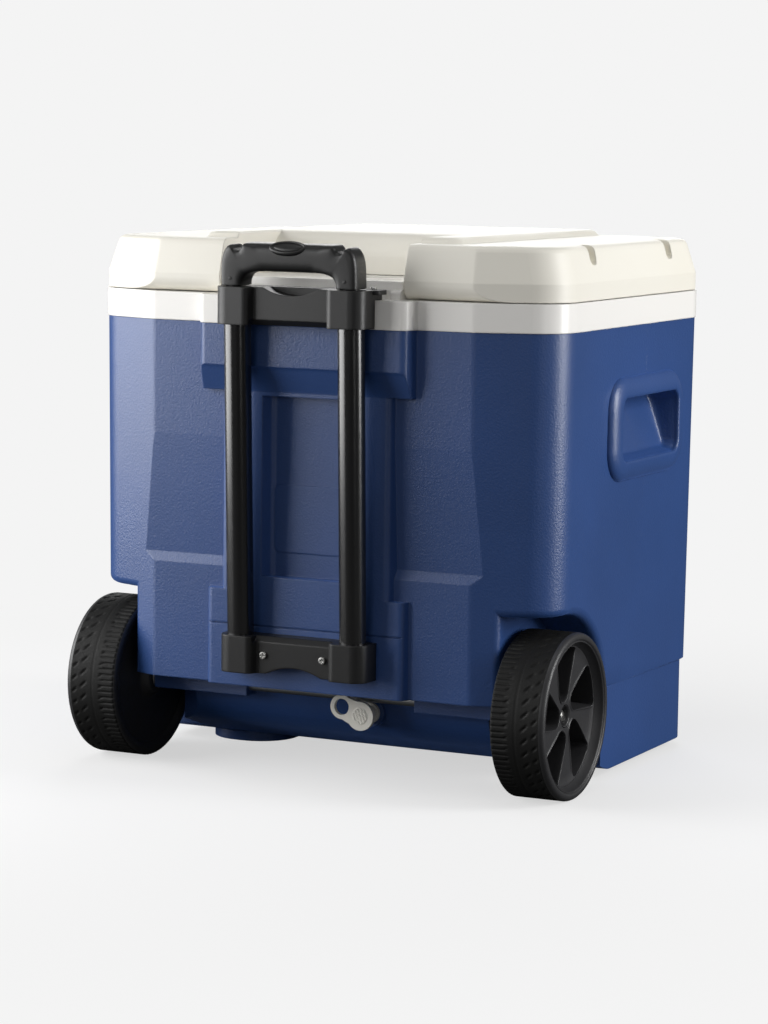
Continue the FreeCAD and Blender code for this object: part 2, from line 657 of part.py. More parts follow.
def back_blocks(body, label, inset):
    """Upper block, spine and lower block behind the handle, with the recess in the spine."""
    pad(body, label + "_upper_block", "XY_Plane", "block_bottom - block_slope",
        "rim_bottom - block_bottom + block_slope",
        block_plan("block_half - %s" % inset, "block_stand - %s" % inset))
    pocket(body, label + "_block_slope", "YZ_Plane", "0", "2 * block_half + 60",
           [("back - block_stand - 5", "block_bottom + %s" % inset),
            ("back - block_stand", "block_bottom + %s" % inset, "slope_round"),
            ("back - low_stand + %s" % inset, "block_bottom - block_slope + %s" % inset, "slope_round"),
            ("back - low_stand + %s" % inset, "block_bottom - block_slope - 10"),
            ("back - block_stand - 5", "block_bottom - block_slope - 10")], Midplane=True)
    pad(body, label + "_spine", "XY_Plane", "low_block_top - 20", "block_bottom - low_block_top + 20",
        block_plan("spine_half - %s" % inset, "low_stand - %s" % inset))
    pad(body, label + "_lower_block", "XY_Plane", "belt_bottom + %s" % inset,
        "low_block_top - belt_bottom - 2 * %s" % inset,
        block_plan("low_block_half - %s" % inset, "low_stand - %s" % inset))
    top = "block_bottom - block_slope - 4 + %s" % inset
    floor = "back - low_stand + spine_recess + %s" % inset
    pocket(body, label + "_spine_recess", "XY_Plane", top,
           "%s - low_block_top - low_block_slope + %s" % (top, inset),
           [("-spine_recess_half - %s" % inset, "back - low_stand - 5"),
            ("-spine_recess_half + recess_flare - %s" % inset, floor, "block_round"),
            ("spine_recess_half - recess_flare + %s" % inset, floor, "block_round"),
            ("spine_recess_half + %s" % inset, "back - low_stand - 5")])


def drain_solid(label, radius, start, end):
    """Cylinder on the drain's axis between two distances from the back panel."""
    body = new_body(label)
    pad(body, label + "_cylinder", "XZ_Plane", "-(back + %s)" % end, "%s - (%s)" % (end, start),
        ("drain_x", "drain_height", radius))
    return body


def build_outer_shell():
    body = tub_form("tub_outside", "0")
    frame = pad(body, "pocket_frame", "YZ_Plane", "half_width - 6", "6 + frame_stand",
                [("back + pocket_back - frame_width", "pocket_low - frame_width", "pocket_round + 8"),
                 ("back + pocket_front + frame_width", "pocket_low - frame_width", "pocket_round + 8"),
                 ("back + pocket_front + frame_width", "pocket_high + frame_width", "pocket_round + 8"),
                 ("back + pocket_back - frame_width + 6", "pocket_high + frame_width", "pocket_round + 8")])
    mirror(body, "pocket_frames", [frame])
    dress(body, "Fillet", "frame_edges", "frame_round",
          lambda middle, along: abs(abs(middle.x) - size("half_width + frame_stand")) < 0.01)
    back_blocks(body, "outer", "0")
    pad(body, "badge_pad", "XZ_Plane", "-(back - low_stand + spine_recess + 4)", "4 + plate_stand",
        [("-spine_recess_half + 11", "plate_low", "6"), ("spine_recess_half - 11", "plate_low", "6"),
         ("spine_recess_half - 11", "plate_low + plate_height", "6"),
         ("-spine_recess_half + 11", "plate_low + plate_height", "6")])
    pocket(body, "seam", "XY_Plane", "seam_height + seam_width / 2", "seam_width",
           [("-low_block_half - 20", "back - low_stand - 5"), ("-low_block_half - 20", "back - low_stand + 1.5"),
            ("low_block_half + 20", "back - low_stand + 1.5"), ("low_block_half + 20", "back - low_stand - 5")])
    saddle = pad(body, "axle_saddle", "YZ_Plane", "saddle_in", "well_wall - saddle_in",
                 [("axle_y - saddle_half", "wheel_radius - saddle_half"),
                  ("axle_y + saddle_half + 20", "wheel_radius - saddle_half"),
                  ("axle_y + saddle_half + 20", "belt_bottom + 2"), ("axle_y - saddle_half", "belt_bottom + 2")])
    mirror(body, "axle_saddles", [saddle])
    runner = pad(body, "runner", "XY_Plane", "0", "base_height + 1",
                 [("runner_x - runner_half", "back + runner_start", "runner_half - 4"),
                  ("runner_x + runner_half", "back + runner_start", "runner_half - 4"),
                  ("runner_x + runner_half", "back + runner_end", "runner_half - 4"),
                  ("runner_x - runner_half", "back + runner_end", "runner_half - 4")])
    mirror(body, "runners", [runner])
    pocket(body, "axle_bore", "YZ_Plane", "0", "2 * half_width", ("axle_y", "wheel_radius", "axle_radius"),
           Midplane=True)
    hand_pocket(body, "outer", "0")
    pocket(body, "screw_holes", "XZ_Plane", "-(back - low_stand + screw_length)", "screw_length + 30",
           ("screw_x", "bracket_low + bracket_height / 2", "screw_radius"),
           ("-screw_x", "bracket_low + bracket_height / 2", "screw_radius"), Reversed=True)
    pad(body, "drain_boss", "XZ_Plane", "-(back + undercut_mid + 4)", "undercut_mid + 4 - drain_boss",
        ("drain_x", "drain_height", "cap_radius"))
    return body


def cavity_plan(grow):
    """Plan of the cavity's mouth, notched round the deck behind the lid."""
    half, notch = "mouth_half + %s" % grow, "deck_half + deck_wall - (%s)" % grow
    rear, inner = "back + mouth_back - (%s)" % grow, "back + deck_front + deck_wall - (%s)" % grow
    ahead, corner = "front - mouth_front + %s" % grow, "mouth_round + %s" % grow
    return [
        ("-(%s)" % half, rear, corner), ("-(%s)" % notch, rear, "8"), ("-(%s)" % notch, inner, "12"),
        (notch, inner, "12"), (notch, rear, "8"), (half, rear, corner),
        (half, ahead, corner), ("-(%s)" % half, ahead, corner),
    ]


def step_plan(grow):
    """Plan of the cavity between and in front of the steps over the wheels."""
    narrow, wide = "step_half + %s" % grow, "mouth_half - 7 + %s" % grow
    rear, step = "back + step_back - %s" % grow, "back + step_front - %s" % grow
    ahead, corner = "front - mouth_front + %s" % grow, "mouth_round + %s" % grow
    return [
        ("-(%s)" % narrow, rear, corner), (narrow, rear, corner), (narrow, step, "8"),
        (wide, step, "12"), (wide, ahead, corner), ("-(%s)" % wide, ahead, corner),
        ("-(%s)" % wide, step, "12"), ("-(%s)" % narrow, step, "8"),
    ]


def cavity_form(label, grow, top):
    body = new_body(label)
    pad(body, label + "_main", "XY_Plane", "step_top - %s" % grow, "%s - step_top + %s" % (top, grow),
        cavity_plan(grow))
    pad(body, label + "_low", "XY_Plane", "floor_top - %s" % grow, "step_top - floor_top + 1",
        step_plan(grow))
    return body


def build_tub():
    outside = build_outer_shell()
    inside = tub_form("tub_inside", "shell_wall")
    back_blocks(inside, "inner", "shell_wall")
    hand_pocket(inside, "inner", "shell_wall")
    drain = drain_solid("drain_bore_tool", "drain_pipe", "0", "step_back + 20")
    shell = combine("Cut", "hollow_shell", outside, inside)
    keep(combine("Cut", "outer_shell", shell, drain))

    rim = new_body("rim_outside")
    pad(rim, "rim", "XY_Plane", "rim_bottom", "rim_top - rim_bottom", tub_plan("-rim_lip"))
    pad(rim, "rim_block", "XY_Plane", "rim_bottom", "rim_top - rim_bottom",
        block_plan("block_half + rim_lip", "block_stand + rim_lip"))
    deck_corners = [("-deck_half", "back + deck_back"), ("deck_half", "back + deck_back"),
                    ("deck_half", "back + deck_front"), ("-deck_half", "back + deck_front")]
    pad(rim, "deck", "XY_Plane", "rim_top - 5", "deck_top - rim_top + 5", deck_corners)
    knuckle = pad(rim, "knuckle", "YZ_Plane", "knuckle_in", "knuckle_out - knuckle_in",
                  [("back - 2", "rim_top - 4"), ("back + 12", "rim_top - 4"), ("back + 12", "knuckle_top"),
                   ("back - 2", "knuckle_top", "4")])
    mirror(rim, "knuckles", [knuckle])
    rim_hollow = new_body("rim_hollow")
    pad(rim_hollow, "under_rim", "XY_Plane", "rim_bottom", "rim_top - rim_bottom - liner_wall",
        tub_plan("shell_wall"))
    pad(rim_hollow, "under_deck", "XY_Plane", "rim_bottom", "deck_top - rim_bottom - liner_wall",
        [("-deck_half + 10", "back + deck_back + 14"), ("deck_half - 10", "back + deck_back + 14"),
         ("deck_half - 10", "back + deck_front - 4"), ("-deck_half + 10", "back + deck_front - 4")])
    rim_case = combine("Cut", "rim_case", rim, rim_hollow)
    lining = cavity_form("lining_outside", "liner_wall", "rim_top")
    cavity = cavity_form("cavity", "0", "rim_top + 40")
    whole = combine("Fuse", "liner_solid", rim_case, lining)
    open_liner = combine("Cut", "open_liner", whole, cavity)
    fixings = fuse_all("liner_holes", [drain, hinge_pin_form("deck_pin_holes", "hinge_pin", "knuckle_in + 3"),
                                       flange_screws("rim_screw_holes", "screw_radius")])
    keep(combine("Cut", "inner_liner", open_liner, fixings))
    space = combine("Fuse", "foam_space", inside, rim_hollow)
    foam = combine("Cut", "foam_block", space, lining)
    fixings = fuse_all("foam_holes", [drain, plate_screws("foam_screw_holes", "screw_radius",
                                                          "-(back - low_stand + screw_length)", "60")])
    keep(combine("Cut", "foam_core", foam, fixings))
    return rim_case


def hinge_pin_form(label, radius, inner):
    body = new_body(label)
    pin = pad(body, label + "_pin", "YZ_Plane", inner, "hinge_out - (%s)" % inner,
              ("hinge_y", "hinge_z", radius))
    mirror(body, label + "_pins", [pin])
    return body


def flange_screws(label, radius):
    body = new_body(label)
    pad(body, label + "_shanks", "XY_Plane", "rim_top - screw_length", "bracket_top - rim_top + screw_length",
        ("flange_screw_x", "back - block_stand + 8", radius), ("-flange_screw_x", "back - block_stand + 8", radius))
    return body


def build_drain():
    flange = drain_solid("spout_flange", "drain_flange", "drain_boss - drain_flange_thick", "drain_boss")
    pipe = drain_solid("spout_pipe", "drain_pipe", "drain_out", "step_back + drain_nut_thick + 2")
    bore = drain_solid("spout_bore", "drain_bore", "0", "step_back + 40")
    spout = combine("Cut", "drain_spout", combine("Fuse", "spout_solid", flange, pipe), bore)
    keep(spout)
    nut = new_body("drain_nut")
    flats = [("drain_x + drain_nut * cos(%d)" % angle, "drain_height + drain_nut * sin(%d)" % angle)
             for angle in range(0, 360, 60)]
    pad(nut, "nut_hexagon", "XZ_Plane", "-(back + step_back + gasket_thick + drain_nut_thick)",
        "drain_nut_thick", flats, ("drain_x", "drain_height", "drain_pipe"))
    keep(nut)
    gasket = new_body("drain_gasket")
    pad(gasket, "gasket_ring", "XZ_Plane", "-(back + step_back + gasket_thick)", "gasket_thick",
        ("drain_x", "drain_height", "drain_nut - 1.5"), ("drain_x", "drain_height", "drain_pipe"))
    keep(gasket)
    cap = new_body("drain_cap")
    pad(cap, "cap_disc", "XZ_Plane", "-(back + drain_out - 0.3)", "cap_thick",
        ("drain_x", "drain_height", "cap_radius"))
    pad(cap, "cap_plug", "XZ_Plane", "-(back + drain_out + cap_plug_long)", "cap_plug_long + 1",
        ("drain_x", "drain_height", "cap_plug"))
    pad(cap, "pull_ring", "XZ_Plane", "-(back + drain_out - 0.3)", "2 * ring_bar",
        ("drain_x - ring_out", "drain_height + ring_up", "ring_radius + ring_bar"))
    pad(cap, "ring_neck", "XZ_Plane", "-(back + drain_out - 0.3)", "2 * ring_bar", ring_neck())
    pocket(cap, "ring_hole", "XZ_Plane", "-(back + drain_out + 10)", "30",
           ("drain_x - ring_out", "drain_height + ring_up", "ring_radius - ring_bar"), Reversed=True)
    keep(cap)


def ring_neck():
    """Straight-sided neck that runs from the pull ring to the cap's rim, square to their centre line."""
    away, lift = "(ring_out / sqrt(ring_out ^ 2 + ring_up ^ 2))", "(ring_up / sqrt(ring_out ^ 2 + ring_up ^ 2))"
    corners = []
    for reach, half in (("ring_out", "-1 * (ring_radius + ring_bar)"), ("ring_out", "ring_radius + ring_bar"),
                        ("0", "cap_radius"), ("0", "-1 * cap_radius")):
        lengthwise = reach if reach == "0" else "sqrt(ring_out ^ 2 + ring_up ^ 2)"
        corners.append(("drain_x - (%s) * %s + (%s) * %s * 0.9" % (lengthwise, away, half, lift),
                        "drain_height + (%s) * %s + (%s) * %s * 0.9" % (lengthwise, lift, half, away)))
    return corners


# ---- running gear ----

def build_axle():
    axle = new_body("axle")
    pad(axle, "axle_rod", "YZ_Plane", "0", "2 * (axle_end - 0.5)", ("axle_y", "wheel_radius", "axle_radius"),
        Midplane=True)
    keep(axle)
    washers = new_body("axle_washer_right")
    pad(washers, "washer", "YZ_Plane", "well_wall", "washer_thick",
        ("axle_y", "wheel_radius", "washer_radius"), ("axle_y", "wheel_radius", "axle_radius"))
    keep(group("axle_washers", [washers, mirrored("axle_washer_left", washers)]))
    retainer = new_body("axle_retainer_right")
    pad(retainer, "retainer", "YZ_Plane", "axle_end - retainer_thick", "retainer_thick",
        ("axle_y", "wheel_radius", "retainer_radius"))
    pocket(retainer, "retainer_bore", "YZ_Plane", "axle_end - 0.5", "retainer_thick + 2",
           ("axle_y", "wheel_radius", "axle_radius"))
    keep(group("axle_retainers", [retainer, mirrored("axle_retainer_left", retainer)]))


def mirrored(label, source):
    item = doc.addObject("Part::Mirroring", label)
    item.Label = label
    item.Source = source
    item.Normal = (1, 0, 0)
    return item


def build_wheels():
    """A wheel turned about the X axis of its own body, then set on the axle."""
    wheel = new_body("wheel_right")
    inner, web = "wheel_face - wheel_width", "wheel_face - dish"
    bore, shoulder = "axle_radius + axle_clear", "wheel_radius - tread_crown"
    rim_in, middle = "wheel_radius - tread_wall", "wheel_face - wheel_width / 2"
    seat = "wheel_face - hub_sink - cap_recess"
    sketch = new_sketch(wheel, "wheel_profile", "XZ_Plane")
    draw(sketch, [
        (inner + " - hub_reach", bore), (seat, bore), (seat, "retainer_radius + 1"),
        ("wheel_face - hub_sink", "retainer_radius + 1"), ("wheel_face - hub_sink", "hub_radius"),
        (web, "hub_radius"), (web, rim_in + " - rim_slope"), ("wheel_face", rim_in),
        ("wheel_face", shoulder + " - tread_bevel"), ("wheel_face - tread_bevel", shoulder),
        (middle + " + band_half", "wheel_radius"), (middle + " - band_half", "wheel_radius"),
        (inner + " + tread_bevel", shoulder), (inner, shoulder + " - tread_bevel"), (inner, rim_in), (web + " - web_thick", rim_in),
        (web + " - web_thick", "hub_radius + 4"), (inner, "hub_radius + 4"),
        (inner, "hub_radius"), (inner + " - hub_reach", "hub_radius")])
    turned = wheel.newObject("PartDesign::Revolution", "wheel_form")
    turned.Profile = sketch
    turned.ReferenceAxis = (sketch, ["H_Axis"])
    turned.Angle = 360
    lips, windows, treads = [], [], []
    for number in range(SPOKES):
        turn = 360 / SPOKES * number
        lips.append(pad(wheel, "lip_%d" % number, "YZ_Plane", web + " - 1", "lip_height + 1",
                        window_outline("lip_width", turn)))
    for number in range(SPOKES):
        turn = 360 / SPOKES * number
        windows.append(pocket(wheel, "window_%d" % number, "YZ_Plane", "wheel_face",
                              "dish + web_thick + 2", window_outline("0", turn)))
    for side, edge, reach in ((1, "wheel_face + 1", "lug_reach"), (-1, inner + " - 1", "lug_reach - wheel_width")):
        end = "wheel_face - " + reach
        treads.append(pocket(wheel, "tread_groove_%d" % len(treads), "XY_Plane", "wheel_radius + 1", "groove_deep + 1", [
            (edge, "-groove_half + %d * groove_pitch" % (side < 0)),
            (edge, "groove_half + %d * groove_pitch" % (side < 0)),
            (end, "groove_half + %d * groove_pitch" % (side < 0)),
            ("%s + %d * groove_slant" % (end, side), "-groove_half + %d * groove_pitch" % (side < 0))]))
    polar(wheel, "tread", treads, "X_Axis", LUGS)
    wheel.setExpression("Placement.Base.y", formula("axle_y"))
    wheel.setExpression("Placement.Base.z", formula("wheel_radius"))
    keep(wheel)
    keep(mirrored("wheel_left", wheel))


def window_outline(grow, turn):
    """Window between two spokes: round at the hub, wide and leaning at the rim."""
    foot, head, corner = "window_in - (%s)" % grow, "window_out + (%s)" % grow, "window_round + (%s)" % grow
    edge = "asin((%s) / window_out) / 1 deg" % grow
    return [
        spoke_corner(foot, "%s + 14 - %s" % (turn, edge), corner), spoke_corner(foot, "%s + 46 + %s" % (turn, edge), corner),
        spoke_corner(head, "%s + 56 + window_swirl + %s" % (turn, edge), corner),
        spoke_corner("window_out + 5 + (%s)" % grow, "%s + 28 + window_swirl" % turn, "14"),
        spoke_corner(head, "%s + window_swirl - %s" % (turn, edge), corner)]


def spoke_corner(radius, angle, corner):
    return ("(%s) * cos(%s)" % (radius, angle), "(%s) * sin(%s)" % (radius, angle), corner)


# ---- lid ----

def lid_form(label, inset):
    """Outside of the lid, or with an inset the space inside its shell."""
    body = new_body(label)
    loft(body, label + "_middle", "XY_Plane",
         ("lid_shoulder - %s - 1" % inset, lid_middle(inset, "0")),
         ("plateau_top - %s" % inset, lid_middle(inset, "plateau_bevel")))
    sections = [("lid_bottom", tub_plan(inset)), ("lid_waist", tub_plan(inset))]
    if inset == "0":
        sections += [shoulder_section("(lid_lean + %d * (90 deg - lid_lean) / 3)" % step) for step in range(4)]
    else:
        sections.append(("lid_shoulder - %s" % inset, tub_plan("lid_slope + %s" % inset)))
    loft(body, label + "_sides", "XY_Plane", *sections)
    deep, top = "back + recess_deep + %s" % inset, "plateau_top - %s" % inset
    pocket(body, label + "_recess", "YZ_Plane", "0", "2 * (recess_half + %s)" % inset,
           [("back - 60", "lid_bottom - 10"), (deep, "lid_bottom - 10"),
            (deep, top, "recess_round - %s" % inset), (deep + " + 40", top), (deep + " + 40", "lid_bottom + 80"),
            ("back - 60", "lid_bottom + 80")], Midplane=True)
    pocket(body, label + "_deck_recess", "YZ_Plane", "0", "2 * (recess_half + %s)" % inset,
           [("back - 60", "lid_bottom - 10"), ("back + deck_front + 3 + %s" % inset, "lid_bottom - 10"),
            ("back + deck_front + 3 + %s" % inset, "deck_top + 0.5 + %s" % inset),
            ("back - 60", "deck_top + 0.5 + %s" % inset)], Midplane=True)
    notches = []
    for number in range(2):
        centre = "back + notch_back + %d * notch_step" % number
        notches.append(pocket(
            body, "%s_notch_%d" % (label, number), "YZ_Plane", "half_width + 10",
            "half_width + 10 - notch_in + %s" % inset,
            [("%s - notch_half - %s" % (centre, inset), "plateau_top + 10"),
             ("%s - notch_half - %s" % (centre, inset), "notch_bottom - %s" % inset, "5"),
             ("%s + notch_half + %s" % (centre, inset), "notch_bottom - %s" % inset, "5"),
             ("%s + notch_half + 3 + %s" % (centre, inset), "plateau_top + 10")]))
    mirror(body, label + "_notches", notches)
    if inset == "0":
        plateau = size("plateau_top")
        dress(body, "Chamfer", label + "_middle_edge", "middle_bevel",
              lambda middle, along: abs(middle.z - plateau) < 0.01)
    return body


def shoulder_section(angle):
    """Plan of the lid where its shoulder's round has turned to an angle from upright."""
    height = "lid_shoulder - lid_round + lid_round * sin(%s)" % angle
    inset = "lid_slope * (1 - lid_round / (lid_shoulder - lid_waist)) + lid_round / cos(lid_lean)"
    return height, tub_plan("%s - lid_round * cos(%s)" % (inset, angle))


def lid_middle(inset, bevel):
    half = "plateau_half - %s - %s" % (inset, bevel)
    rear, ahead = "back + plateau_start + %s + %s" % (inset, bevel), "front - plateau_end - %s - %s" % (inset, bevel)
    return [("-(%s)" % half, rear, "12"), (half, rear, "12"), (half, ahead, "20"), ("-(%s)" % half, ahead, "20")]


def build_lid():
    outside = lid_form("lid_outside", "0")
    pocket(outside, "hinge_edge", "YZ_Plane", "0", "2 * half_width + 20",
           [("back - 30", "hinge_z + 5"), ("back", "hinge_z + 5"), ("back", "lid_bottom", "hinge_round"),
            ("back + 30", "lid_bottom"), ("back + 30", "lid_bottom - 20"), ("back - 30", "lid_bottom - 20")],
           Midplane=True)
    inside = lid_form("lid_inside", "lid_wall")
    pocket(inside, "hinge_edge_inside", "YZ_Plane", "0", "2 * half_width + 20",
           [("back - 30", "hinge_z + 5"), ("back + lid_wall", "hinge_z + 5"), ("back + lid_wall", "hinge_z"),
            ("back + lid_wall + hinge_round", "lid_bottom + lid_wall"),
            ("back + lid_wall + hinge_round", "lid_bottom - 20"), ("back - 30", "lid_bottom - 20")],
           Midplane=True)
    pocket(inside, "hinge_boss", "YZ_Plane", "0", "2 * (hinge_out + 8)",
           [("back - 5", "lid_bottom - 5"), ("back + 2.5 * hinge_round", "lid_bottom - 5"),
            ("back + 2.5 * hinge_round", "hinge_z + 1.5 * hinge_round"),
            ("back - 5", "hinge_z + 1.5 * hinge_round")], Midplane=True)
    hollow = combine("Cut", "hollow_lid", outside, inside)
    keep(combine("Cut", "lid_shell", hollow, hinge_pin_form("lid_pin_holes", "hinge_pin + hinge_clear",
                                                            "knuckle_in")))
    slab = new_body("pan_slab")
    pad(slab, "slab", "XY_Plane", "lid_bottom", "pan_wall", tub_plan("-5"))
    plate = combine("Common", "pan_plate", inside, slab)
    plug = new_body("pan_plug")
    pad(plug, "plug", "XY_Plane", "lid_bottom - plug_depth", "plug_depth + pan_wall", cavity_plan("-plug_clear"))
    hollow = new_body("pan_hollow")
    pad(hollow, "plug_hollow", "XY_Plane", "lid_bottom - plug_depth + pan_wall", "plug_depth",
        cavity_plan("-plug_clear - pan_wall"))
    tray = combine("Fuse", "pan_solid", plate, plug)
    pan = keep(combine("Cut", "lid_pan", tray, hollow))
    space = combine("Fuse", "lid_space", inside, hollow)
    keep(combine("Cut", "lid_foam", space, pan))
    pins = hinge_pin_form("hinge_pins", "hinge_pin", "knuckle_in + 3")
    keep(pins)


# ---- telescopic handle ----

def tube(label, radius, wall, low, high):
    """Tube on the right of the handle, and its twin on the left."""
    body = new_body(label + "_right")
    pad(body, label, "XY_Plane", low, "%s - (%s)" % (high, low),
        ("tube_x", "0", radius), ("tube_x", "0", "%s - (%s)" % (radius, wall)))
    return lean(body)


def bracket_plan(rear, ahead):
    inner = "tube_x - collar_half"
    return [
        ("-bracket_half", rear, "collar_round"), ("-(%s)" % inner, rear, "collar_inner_round"),
        ("-(%s - 4)" % inner, rear + " + plate_sink"), ("%s - 4" % inner, rear + " + plate_sink"),
        (inner, rear, "collar_inner_round"), ("bracket_half", rear, "collar_round"),
        ("bracket_half", ahead), ("-bracket_half", ahead),
    ]


def bracket(label, low, rear, ahead, scallop_edge, up):
    """Bracket with two collars, a sunk plate, a finger scallop and a bevelled lip."""
    body = new_body(label)
    pad(body, label + "_form", "XY_Plane", low, "bracket_height", bracket_plan(rear, ahead))
    away, back_in = ("+", "-") if up else ("-", "+")
    sweep = "((scallop_half ^ 2 + scallop_deep ^ 2) / (2 * scallop_deep))"
    pocket(body, label + "_scallop", "XZ_Plane", "0 - (%s)" % ahead, "60",
           ("0", "%s %s (%s - scallop_deep)" % (scallop_edge, away, sweep), sweep), Reversed=True)
    plate, far = rear + " + plate_sink", "%s %s bracket_height" % (scallop_edge, back_in)
    inward, outward = "%s %s bracket_bevel" % (far, away), "%s %s 5" % (far, back_in)
    pocket(body, label + "_bevel", "YZ_Plane", "0", "2 * (tube_x - collar_half) - 2",
           [(plate + " - 5", inward), (plate, inward), (plate + " + bracket_bevel", far),
            (plate + " + bracket_bevel", outward), (plate + " - 5", outward)], Midplane=True)
    return body


def tube_bores(label, radius, low, high):
    body = new_body(label)
    pad(body, label + "_bores", "XY_Plane", low, "%s - (%s)" % (high, low),
        ("tube_x", "0", radius), ("-tube_x", "0", radius))
    return lean(body)


def plate_screws(label, radius, start, length):
    body = new_body(label)
    pad(body, label + "_shanks", "XZ_Plane", start, length,
        ("screw_x", "bracket_low + bracket_height / 2", radius),
        ("-screw_x", "bracket_low + bracket_height / 2", radius))
    return body


def cross(x, y, half, thick):
    """Corners of a cross-shaped driver recess."""
    signs = [(1, 1), (-1, 1), (-1, -1), (1, -1)]
    corners = []
    for number, (across, along) in enumerate(signs):
        long_x, long_y = "%s + %d * %s" % (x, across, half), "%s + %d * %s" % (y, along, half)
        short_x, short_y = "%s + %d * %s" % (x, across, thick), "%s + %d * %s" % (y, along, thick)
        arms = [(long_x, short_y), (short_x, short_y), (short_x, long_y)]
        corners += arms if number % 2 == 0 else arms[::-1]
    return corners


def build_brackets():
    rim_face = "back - block_stand - rim_lip"
    top = bracket("top_bracket_form", "bracket_top - bracket_height", "back - reach", rim_face, "bracket_top", True)
    pad(top, "flange_foot", "XY_Plane", "rim_top", "bracket_rise",
        [("-bracket_half", rim_face + " - 5"), ("bracket_half", rim_face + " - 5"),
         ("bracket_half", rim_face + " + flange_deep"), ("-bracket_half", rim_face + " + flange_deep")])
    pad(top, "flange", "XY_Plane", "bracket_top - flange_thick", "flange_thick",
        [("-flange_half", rim_face + " - 5", "3"), ("flange_half", rim_face + " - 5", "3"),
         ("flange_half", rim_face + " + flange_deep", "4"), ("-flange_half", rim_face + " + flange_deep", "4")])
    through = fuse_all("top_bracket_bores", [
        tube_bores("top_tube_bores", "tube_radius", "tube_low", "tube_high"),
        tube_bores("top_guide_bores", "mid_radius + slide_clear", "tube_high - 5", "tube_high + 30"),
        flange_screws("flange_screw_bores", "screw_radius")])
    keep(combine("Cut", "handle_top_bracket", top, through))
    low = bracket("bottom_bracket_form", "bracket_low", "back - low_reach", "back - low_stand", "bracket_low", False)
    through = fuse_all("bottom_bracket_bores", [
        tube_bores("bottom_tube_bores", "tube_radius", "tube_low", "tube_high"),
        plate_screws("plate_screw_bores", "screw_radius", "-(back + 10)", "60")])
    keep(combine("Cut", "handle_bottom_bracket", low, through))

    screws = flange_screws("bracket_screws_top", "screw_radius")
    pad(screws, "flange_screw_heads", "XY_Plane", "bracket_top", "screw_head_height",
        ("flange_screw_x", "back - block_stand + 8", "screw_head"),
        ("-flange_screw_x", "back - block_stand + 8", "screw_head"))
    dress(screws, "Chamfer", "flange_head_edges", "0.6",
          lambda middle, along: abs(middle.z - size("bracket_top + screw_head_height")) < 0.01)
    keep(screws)
    plate = "back - low_reach + plate_sink"
    screws = plate_screws("bracket_screws_bottom", "screw_radius", "-(back - low_stand + screw_length)",
                          "back - low_stand + screw_length - (%s)" % plate)
    pad(screws, "plate_screw_heads", "XZ_Plane", "-(%s)" % plate, "screw_head_height",
        ("screw_x", "bracket_low + bracket_height / 2", "screw_head"),
        ("-screw_x", "bracket_low + bracket_height / 2", "screw_head"))
    pocket(screws, "plate_screw_drives", "XZ_Plane", "-(%s) + screw_head_height" % plate, "1.2",
           cross("screw_x", "bracket_low + bracket_height / 2", "1.9", "0.45"),
           cross("-screw_x", "bracket_low + bracket_height / 2", "1.9", "0.45"))
    keep(screws)


def build_handle():
    outer = tube("outer_tube", "tube_radius", "tube_wall", "tube_low", "tube_high")
    middle = tube("middle_tube", "mid_radius", "mid_wall", "mid_low", "mid_high")
    inner = tube("inner_tube_form", "top_tube_radius", "top_tube_wall", "top_tube_low", "top_tube_high")
    rivets = rivet_form("rivet_bores")
    inner = combine("Cut", "inner_tube_right", inner, rivets)
    for label, item in (("outer_tube_left", outer), ("middle_tube_left", middle), ("inner_tube_left", inner)):
        keep(item)
        keep(mirrored(label, item))
    bush = tube("middle_bush", "tube_radius - tube_wall - slide_clear",
                "tube_radius - tube_wall - slide_clear - mid_radius", "mid_low", "mid_low + bush_height")
    keep(group("middle_bushes", [bush, mirrored("middle_bush_left", bush)]))
    guide = tube("inner_guide", "mid_radius - mid_wall", "mid_radius - mid_wall - top_tube_radius - slide_clear",
                 "mid_high - bush_height", "mid_high")
    keep(group("inner_guides", [guide, mirrored("inner_guide_left", guide)]))

    lock = new_body("lock_bush_right")
    pad(lock, "lock_bush", "XY_Plane", "top_tube_low - bush_height", "bush_height",
        ("tube_x", "0", "mid_radius - mid_wall - slide_clear"))
    pad(lock, "lock_spigot", "XY_Plane", "top_tube_low", "8", ("tube_x", "0", "top_tube_radius - top_tube_wall"))
    pocket(lock, "rod_bore", "XY_Plane", "top_tube_low + 10", "bush_height + 6", ("tube_x", "0", "rod_radius + 0.5"))
    pocket(lock, "pin_bore", "YZ_Plane", "tube_x + mid_radius", "mid_radius", ("0", "pin_height", "pin_radius + 0.05"))
    lean(lock)
    keep(group("lock_bushes", [lock, mirrored("lock_bush_left", lock)]))
    pin = new_body("lock_pin_right")
    pad(pin, "lock_pin", "YZ_Plane", "tube_x + mid_radius - mid_wall - pin_gap - pin_length", "pin_length",
        ("0", "pin_height", "pin_radius"))
    lean(pin)
    keep(pin)
    keep(mirrored("lock_pin_left", pin))
    rods = new_body("release_rods")
    pad(rods, "rods", "XY_Plane", "pin_height + 6.5", "bar_low - pin_height - 6.5",
        ("tube_x", "0", "rod_radius"), ("-tube_x", "0", "rod_radius"))
    keep(lean(rods))
    bar = new_body("release_bar")
    pad(bar, "bar", "XY_Plane", "bar_low", "bar_thick",
        [("-tube_x - rod_radius", "-bar_half_deep"), ("tube_x + rod_radius", "-bar_half_deep"),
         ("tube_x + rod_radius", "bar_half_deep"), ("-tube_x - rod_radius", "bar_half_deep")])
    keep(lean(bar))


def rivet_form(label):
    body = new_body(label)
    pad(body, label + "_shanks", "XZ_Plane", "top_tube_radius - top_tube_wall - 0.3",
        "grip_half_deep - top_tube_radius + top_tube_wall + 0.3",
        ("tube_x", "grip_bottom + 7", "1.6"), ("-tube_x", "grip_bottom + 7", "1.6"))
    return lean(body)


